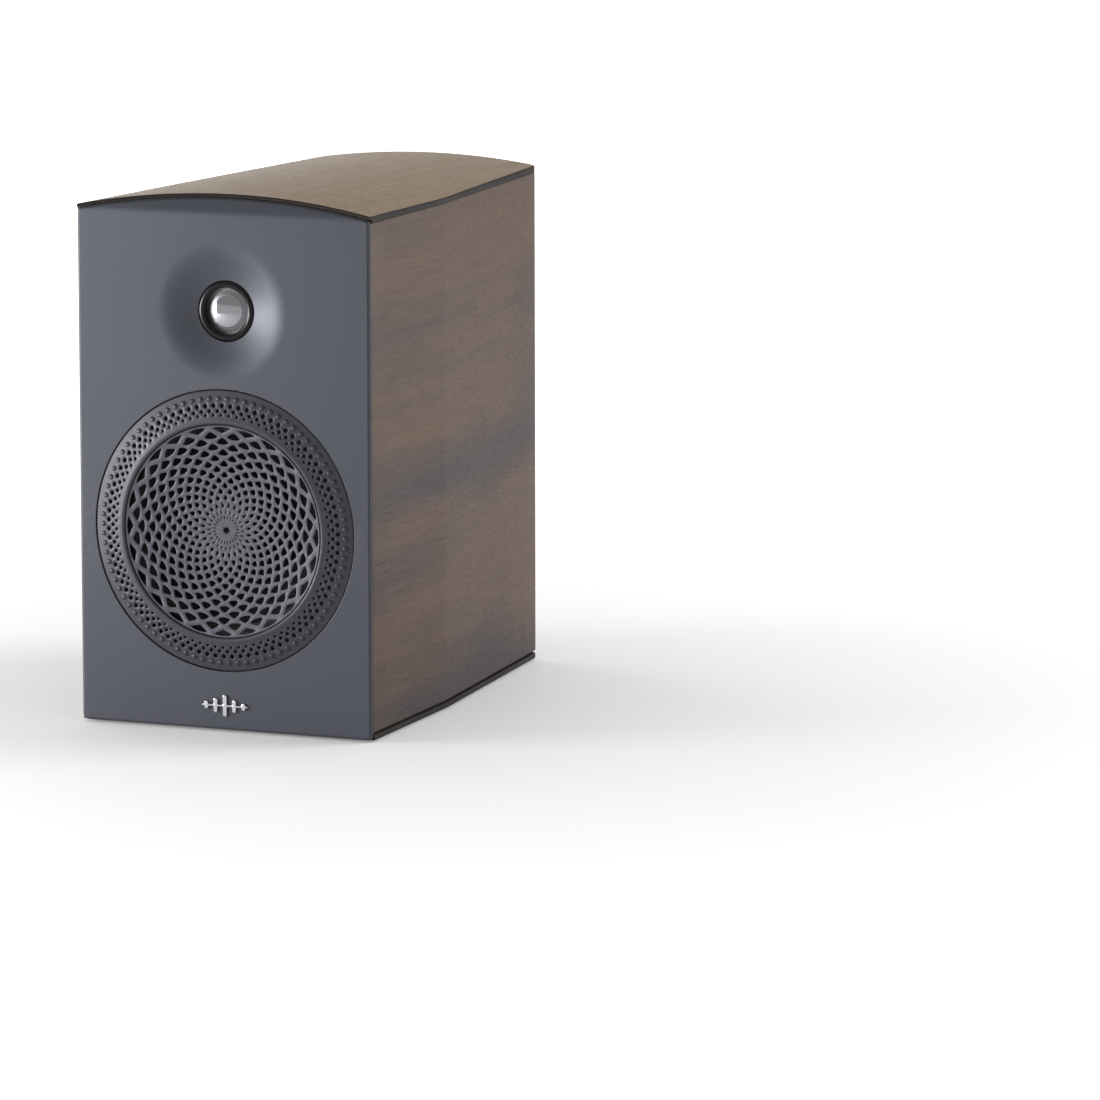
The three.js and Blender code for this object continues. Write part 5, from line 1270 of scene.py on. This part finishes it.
def badgePiece():
    # One outline: along the line's upper edge and over each bar's round top, then back under them.
    count, halfBar, halfLine = len(badge["bars"]), badge["barWidth"] / 2, badge["line"] / 2
    pitch = (badge["width"] - badge["barWidth"] - 2 * badge["ends"]) / (count - 1)
    turn = np.linspace(math.pi, 0, 13)
    upper = []
    for i, height in enumerate(badge["bars"]):
        x = (i - (count - 1) / 2) * pitch
        arc = np.column_stack([x + halfBar * np.cos(turn), height / 2 - halfBar + halfBar * np.sin(turn)])
        foot = [[x - halfBar - 0.35, halfLine], [x - halfBar - 0.1, halfLine + 0.08],
                [x - halfBar, halfLine + 0.3]]
        away = [[2 * x - p[0], p[1]] for p in foot[::-1]]
        upper.append(np.concatenate([foot, arc, away]))
    end = np.linspace(math.pi / 2, 3 * math.pi / 2, 7)[1:-1]
    half = badge["width"] / 2 - halfLine
    leftEnd = np.column_stack([-half + halfLine * np.cos(end), halfLine * np.sin(end)])[::-1]
    upper = np.concatenate([leftEnd[len(leftEnd) // 2:], *upper, (leftEnd * [-1, 1])[::-1][:3]])
    lower = (upper * [1, -1])[::-1][1:-1]
    loop = np.concatenate([upper, lower])[::-1] + [0, badge["height"]]
    shape = slab([loop], level(-0.3 - badge["proud"]), level(-0.3),
                 [[(0.42, 0), (0.3, 0.03), (0.12, 0.13), (0.03, 0.28), (0, 0.45)]], [[(0, 0)]])
    return makePiece("levelBadge", upright(shape), "cabinet", chrome, "badge", sharp=50)


badgePiece()
print("badge: done")

# Back of the cabinet

port = {"bore": 26.0, "wall": 2.2, "mouth": 38.0, "flange": 45.0, "flangeFront": 312.3, "flare": 16.0,
        "flareFront": 309}


def portPiece():
    low, high = boxOf("rear_port")
    mouth, inner = high[1], low[1]
    throat, tube = mouth - port["flare"], port["bore"] + port["wall"]
    turn = np.linspace(0, math.pi / 2, 17)
    spread = port["mouth"] - port["bore"]
    flare = np.column_stack([port["bore"] + spread * (1 - np.cos(turn)),
                             throat + port["flare"] * np.sin(turn)])
    lip = rounded([[port["mouth"] + 0.6, mouth], [port["flange"], mouth],
                   [port["flange"], port["flangeFront"]], [port["mouth"] + 2.5, port["flangeFront"]]],
                  [0, 1.6, 0.3, 0], 5)
    outside = [[port["mouth"] + 1, port["flareFront"]], [tube + 1, throat - 1], [tube, throat - 4]]
    end = rounded([[tube, inner + 3], [tube, inner], [port["bore"], inner], [port["bore"], inner + 3]],
                  [0, 1, 1, 0], 3)[1:-1]
    profile = np.concatenate([flare, lip, outside, end])
    return makePiece("rearPort", turnedShape(profile, 120, middleOf(low, high)), "cabinet",
                     blackPlastic, "rear_port", sharp=45)


terminals = {
    "posts": (-9.5, 9.5), "postHole": 3.2, "screwHole": 2.2, "corner": 8, "border": 6.5, "insideCorner": 5,
    "sunk": 1.0, "slope": 1.2, "ring": 8.9, "ringSlope": 0.6,
}
squareCorners = np.array([[-1, -1], [1, -1], [1, 1], [-1, 1]])


def terminalPlate():
    low, high = boxOf("terminal_plate")
    middle = middleOf(low, high)
    half = np.array([(high[0] - low[0]) / 2, (high[2] - low[2]) / 2])
    loop = rounded(middle + half * squareCorners, terminals["corner"], 8)
    posts = [middle + [x, 0] for x in terminals["posts"]]
    holes = [circle(terminals["postHole"], post, 32)[::-1] for post in posts]
    for i in range(1, 5):
        offset = middleOf(*boxOf(f"terminal_screw_{i}")) - middle
        holes.append(circle(terminals["screwHole"], middle + offset, 20)[::-1])
    recess = half - terminals["border"]

    def outerFace(flat):  # a shallow dished panel inside a flat border, with a raised ring round each post
        offset = np.abs(flat - middle) - recess + terminals["insideCorner"]
        outside = np.linalg.norm(np.maximum(offset, 0), axis=1) - terminals["insideCorner"]
        sunk = terminals["sunk"] * smoothStep(-outside / terminals["slope"])
        for x in terminals["posts"]:
            ring = np.linalg.norm(flat - middle - [x, 0], axis=1)
            sunk = sunk * (1 - smoothStep((terminals["ring"] - ring) / terminals["ringSlope"]))
        return high[1] - sunk

    # Points follow both slopes, and each ring keeps to its own side of the plate.
    edge = spaced(rounded(middle + recess * squareCorners, 7, 8), 3)
    inner = [insetLoop(edge, distance) for distance in (-0.15, 0.0, 0.4, 0.8, 1.2, 1.4)]
    for own, other in (posts, posts[::-1]):
        ring = np.concatenate([circle(radius, own, 56) for radius in (4.6, 8.2, 8.35, 8.6, 8.8, 8.95)])
        clear = np.linalg.norm(ring - other, axis=1) > np.linalg.norm(ring - own, axis=1) + 0.25
        inner.append(ring[clear])
    inner = awayFrom(np.concatenate(inner), [loop, *holes], 0.5)
    shape = slab([loop, *holes], outerFace, level(low[1]), [roundEdge(0.9)] + [roundEdge(0.3, 2)] * 6,
                 [roundEdge(0.3, 1)] * 7, inner)
    return makePiece("terminalPlate", upright(shape), "cabinet", blackPlastic,
                     "terminal_plate", sharp=40)


bindingPost = {
    "stud": 2.9, "collar": 5.0, "collarFront": 302.0, "collarBack": 312.0, "face": 315.3, "flange": 6.6,
    "socket": 2.05, "socketDepth": 15, "pitch": 1.0, "threadDepth": 0.26, "sides": 48,
}


def threaded(node, name, body):
    # A binding post. Its radius along the axis follows a profile, and the stud's is a screw line's ripple.
    low, high = boxOf(node)
    centre = middleOf(low, high)
    stud, collar, flange, socket = (bindingPost[key] for key in ("stud", "collar", "flange", "socket"))
    front, back, face = (bindingPost[key] for key in ("collarFront", "collarBack", "face"))
    tip = high[1]
    outline = [(stud, low[1], 0), (stud, front, 0), (collar, front, 0), (collar, back, 0), (stud, back, 0),
               (stud, face + 0.3, 0), (flange - 0.3, face + 0.3, 0), (flange, face + 0.6, 0),
               (flange, face + 2.0, 0), (flange - 0.3, face + 2.3, 0), (stud, face + 2.3, 0)]
    thread = [(stud, y, 1) for y in np.arange(face + 2.8, tip - 0.9, 0.125)]
    end = [(stud, tip - 0.7, 0), (stud - 0.4, tip, 0), (socket, tip, 0),
           (socket, tip - bindingPost["socketDepth"], 0)]
    radius, depth, cut = np.array(outline + thread + end).T[:, :, None]
    angle = anglesRound(bindingPost["sides"])
    ripple = 0.5 - 0.5 * np.cos(angle - 2 * math.pi * depth / bindingPost["pitch"])
    poles = [[0, low[1], 0], [0, tip - bindingPost["socketDepth"] - 1, 0]]
    points = np.concatenate([ringed(radius - bindingPost["threadDepth"] * ripple * cut, depth, angle), poles])
    shape = points + [centre[0], 0, centre[1]], closedGrid(len(radius), bindingPost["sides"])
    return makePiece(name, shape, body, gold, node, sharp=40)


knob = {
    "outer": 7.5, "bore": 3.25, "flutes": 8, "fluteDepth": 1.15, "sides": 144, "washer": 6.8,
    # how far along the knob, and how deep the flutes are there
    "fluteRows": [(2.8, 0.3), (3.4, 0.8), (4.0, 1), (7.0, 1), (9.6, 1), (10.2, 0.8), (10.8, 0.3)],
}


def knobPiece(node, name, body, finish):
    # The radius is a barrel's, less round flutes along its middle: a raised cosine of eight times the angle.
    low, high = boxOf(node)
    centre = middleOf(low, high)
    start, end, outer, bore = low[1], high[1], knob["outer"], knob["bore"]
    angle = anglesRound(knob["sides"])
    rows = [(bore, start, 0), (outer - 1.0, start, 0), (outer - 0.3, start + 0.3, 0), (outer, start + 1.0, 0),
            (outer, start + 2.2, 0)]
    rows += [(outer, start + along, share) for along, share in knob["fluteRows"]]
    rows += [(outer, end - 2.4, 0), (outer, end - 1.6, 0), (outer - 0.25, end - 0.9, 0),
             (outer - 0.8, end - 0.35, 0), (outer - 1.6, end - 0.05, 0), (outer - 2.2, end, 0),
             (bore + 0.4, end, 0), (bore, end - 0.4, 0)]
    radius, depth, share = np.array(rows).T[:, :, None]
    flute = knob["fluteDepth"] * (0.5 + 0.5 * np.cos(knob["flutes"] * angle)) ** 1.5
    points = ringed(radius - share * flute, depth, angle) + [centre[0], 0, centre[1]]
    return makePiece(name, (points, [gridFaces(len(rows), knob["sides"], wrapRows=True)]), body,
                     finish, node, sharp=38)


def washerPiece(node, name, body):
    low, high = boxOf(node)
    bore, outer = knob["bore"], knob["washer"]
    profile = rounded([[bore, low[1]], [outer, low[1]], [outer, high[1]], [bore, high[1]]], 0.3, 3)
    return makePiece(name, turnedShape(profile, 72, middleOf(low, high)), body, gold, node)


def footPiece(i):  # a domed rubber pad with a rolled edge
    low, high = boxOf(f"foot_{i}")
    outer = (high[0] - low[0]) / 2
    profile = np.concatenate([[[0, low[2]]], rounded(
        [[outer - 1.5, low[2]], [outer, low[2] + 0.2], [outer, high[2]], [outer - 0.5, high[2]]],
        [0.5, 0.6, 0.3, 0], 4), [[0, high[2]]]])
    return makePiece(f"rubberFoot{i}", turnedShape(profile, 48, middleOf(low, high, (0, 1)), "z"), "cabinet",
                     rubber, f"foot_{i}")


portPiece()
terminalPlate()
for i in range(1, 5):
    screwPiece(f"terminal_screw_{i}", f"terminalScrew{i}", blackPlastic, 1)
    footPiece(i)
for name, finish, slotName in (("red", redPlastic, "red_plastic"), ("black", darkKnob, "black_plastic")):
    label = name.capitalize()
    threaded(f"binding_post_{name}", f"bindingPost{label}", "cabinet")
    knobPiece(f"knob_{name}", f"clampKnob{label}", f"turning_knob_{name}", finish)
    washerPiece(f"clamp_washer_{name}", f"clampWasher{label}", f"clamp_{name}")
softened("rear_board", "rearBoard", blackBoard, 0.6)
softened("front_board", "frontBoard", rawBoard, 0.6)
softened("window_brace", "windowBrace", rawBoard, 0.8)
print("back: port, terminals and boards")

# Inside


inductor = {"bore": 6.0, "wire": 1.2, "ripple": 0.35}
capacitor = {"crimpFromEnd": 2.5, "crimpDepth": 0.5, "crimpWidth": 0.7, "endDrop": 0.8, "endWidth": 0.5}
pad = {
    "rows": 70, "columns": 140, "around": (0.35, 0.3), "up": 0.6,  # the powers that square the pad off
    "waves": ((2.1, 1.7, 0.3), (3.9, 2.9, 1.4), (6.3, 5.1, 2.2)),  # two rates and a phase each
    "crown": 0.2, "lumps": 0.06, "flat": 0.72, "pull": 0.05, "reach": (0.97, 0.95), "pole": 0.9,
}


def inductorPiece():  # copper wire wound in layers: the outside and the bore are rippled by the turns
    low, high = boxOf("crossover_inductor")
    outer, bore = (high[0] - low[0]) / 2, inductor["bore"]
    depth = np.linspace(low[1], high[1], 61)
    wave = inductor["ripple"] * (1 - np.abs(np.sin(math.pi * (depth - low[1]) / inductor["wire"])))
    profile = np.concatenate([np.column_stack([outer - wave, depth]),
                              np.column_stack([bore + wave, depth])[::-1]])
    return makePiece("crossoverCoil", turnedShape(profile, 72, middleOf(low, high)), "cabinet",
                     copper, "crossover_inductor")


def capacitorPiece():  # a film roll with a crimped collar near each end
    low, high = boxOf("crossover_capacitor")
    radius = (high[2] - low[2]) / 2
    x = np.linspace(low[0], high[0], 40)
    inset, ends = 0, 0
    for fromEnd in (x - low[0], high[0] - x):
        crimp = (fromEnd - capacitor["crimpFromEnd"]) / capacitor["crimpWidth"]
        inset = inset + capacitor["crimpDepth"] * np.exp(-crimp ** 2)
        ends = ends + np.exp(-fromEnd / capacitor["endWidth"])
    body = np.column_stack([radius - inset - capacitor["endDrop"] * ends, x])
    profile = np.concatenate([[[0, low[0]]], body, [[0, high[0]]]])
    return makePiece("crossoverCapacitor", turnedShape(profile, 64, middleOf(low, high, (1, 2)), "x"),
                     "cabinet", capacitorSkin, "crossover_capacitor")


def signedPower(value, power):
    return np.sign(value) * np.abs(value) ** power


def waddingPiece():
    # A pad of fibre: a rounded box (each coordinate a signed power of a sphere's) whose faces crown outwards
    # and whose surface is lumpy by sums of sines.
    low, high = boxOf("damping_wadding")
    middle, half = (low + high) / 2, (high - low) / 2
    tilt = np.linspace(-math.pi / 2, math.pi / 2, pad["rows"])[1:-1, None]
    turn = anglesRound(pad["columns"])[None]
    tall, wide = pad["around"]
    x = signedPower(np.cos(tilt), tall) * signedPower(np.cos(turn), wide)
    y = signedPower(np.cos(tilt), tall) * signedPower(np.sin(turn), wide)
    z = signedPower(np.sin(tilt), pad["up"]) + 0 * turn
    pull = 1 - pad["pull"] * np.cos(2 * turn) ** 2 * np.cos(tilt)
    lumps = sum(np.sin(a * x * 3 + p) * np.sin(b * y * 3 + 2 * p) for a, b, p in pad["waves"]) / 3
    crown = pad["flat"] + pad["crown"] * (1 - x ** 2) * (1 - y ** 2) + pad["lumps"] * lumps
    reachX, reachY = pad["reach"]
    body = np.stack([reachX * x * pull, reachY * y * pull, z * crown], -1).reshape(-1, 3)
    points = middle + np.concatenate([body, [[0, 0, -pad["pole"]], [0, 0, pad["pole"]]]]) * half
    groups = closedGrid(pad["rows"] - 2, pad["columns"])
    piece = makePiece("dampingWadding", (points, groups), "cabinet", wadding, "damping_wadding")


inductorPiece()
capacitorPiece()
waddingPiece()
softened("crossover_board", "crossoverBoard", boardGreen, 0.2)
softened("woofer_lead", "wooferLead", redPlastic, 0, level=1)
softened("tweeter_lead", "tweeterLead", darkKnob, 0, level=1)
print("inside: crossover, leads and wadding")

# Stage

stageSettings = {
    "floorColour": (0.86, 0.86, 0.86), "floorSize": 60.0, "world": 0.43, "backdrop": 0.95,
    "glowNear": 0.12, "glowFar": 0.32,  # the floor's own brightness beside the speaker and away from it
    "glowSpan": (0.5, 3.5), "sweepSpan": (0.1, 1.8), "sweepNear": 0.06, "cloud": 0.985,
    "sweep": 0.7,  # how much brighter the far floor looks, so that it fades into the backdrop
    # place, aim, width, height, power
    "lights": {
        "leftNear": ((-1.15, -0.85, 0.17), (0, -0.15, 0.2), 0.7, 0.3, 18.0),
        "leftFar": ((-3.0, -1.4, 0.8), (0, -0.1, 0.15), 2.0, 1.8, 15.0),
        "leftBack": ((-2.4, 0.9, 0.9), (0, 0.0, 0.2), 1.6, 1.6, 14.9),
        "rightBack": ((2.4, 1.4, 0.9), (0, 0.0, 0.2), 1.6, 1.6, 60.0),
        "backLow": ((-1.3, 3.0, 0.42), (0, 0.0, 0.2), 2.6, 0.7, 11.0),
    },
}


def floorPiece():
    material, tree, shader = newMaterial("paleFloor", {"Roughness": 0.75, "Specular IOR Level": 0.2})
    place = addNode(tree, "ShaderNodeTexCoord").outputs["Object"]
    cloud = noise(tree, place, 3, 2)
    colour = stageSettings["floorColour"]
    darker = [channel * stageSettings["cloud"] for channel in colour]
    tree.links.new(mixed(tree, cloud, (*colour, 1), (*darker, 1)), shader.inputs["Base Color"])
    far = addNode(tree, "ShaderNodeVectorMath", {0: place}, operation="LENGTH").outputs["Value"]
    glow = ranged(tree, far, *stageSettings["glowSpan"], stageSettings["glowNear"], stageSettings["glowFar"])
    seen = addNode(tree, "ShaderNodeLightPath").outputs["Is Camera Ray"]
    sweep = product(tree, seen, ranged(tree, far, *stageSettings["sweepSpan"], stageSettings["sweepNear"],
                                       stageSettings["sweep"]))
    tree.links.new(maths(tree, "ADD", glow, sweep), shader.inputs["Emission Color"])
    shader.inputs["Emission Strength"].default_value = 1.0
    half = stageSettings["floorSize"] / 2
    mesh = bpy.data.meshes.new("floor")
    corners = [(-half, -half, 0), (half, -half, 0), (half, half, 0), (-half, half, 0)]
    mesh.from_pydata(corners, [], [(0, 1, 2, 3)])
    mesh.materials.append(material)
    floor = bpy.data.objects.new("floor", mesh)
    scene.collection.objects.link(floor)


def softLight(name, place, aim, width, height, power):
    data = bpy.data.lights.new(name, "AREA")
    data.shape, data.size, data.size_y, data.energy = "RECTANGLE", width, height, power
    light = bpy.data.objects.new(name, data)
    light.visible_camera = False
    light.location = place
    light.rotation_euler = (Vector(aim) - Vector(place)).to_track_quat("-Z", "Y").to_euler()
    scene.collection.objects.link(light)


floorPiece()
for name, (place, aim, width, height, power) in stageSettings["lights"].items():
    softLight(name, place, aim, width, height, power)
world = bpy.data.worlds.new("studio")
scene.world = world
world.use_nodes = True
lamp = world.node_tree.nodes["Background"]
lamp.inputs[0].default_value, lamp.inputs[1].default_value = (1, 1, 1, 1), stageSettings["world"]
backdrop = addNode(world.node_tree, "ShaderNodeBackground", {0: (1, 1, 1, 1), 1: stageSettings["backdrop"]})
seen = addNode(world.node_tree, "ShaderNodeLightPath").outputs["Is Camera Ray"]
both = addNode(world.node_tree, "ShaderNodeMixShader", {0: seen, 1: lamp.outputs[0], 2: backdrop.outputs[0]})
world.node_tree.links.new(both.outputs[0], world.node_tree.nodes["World Output"].inputs[0])
scene.view_settings.view_transform = "Standard"
print("stage: floor and lights")
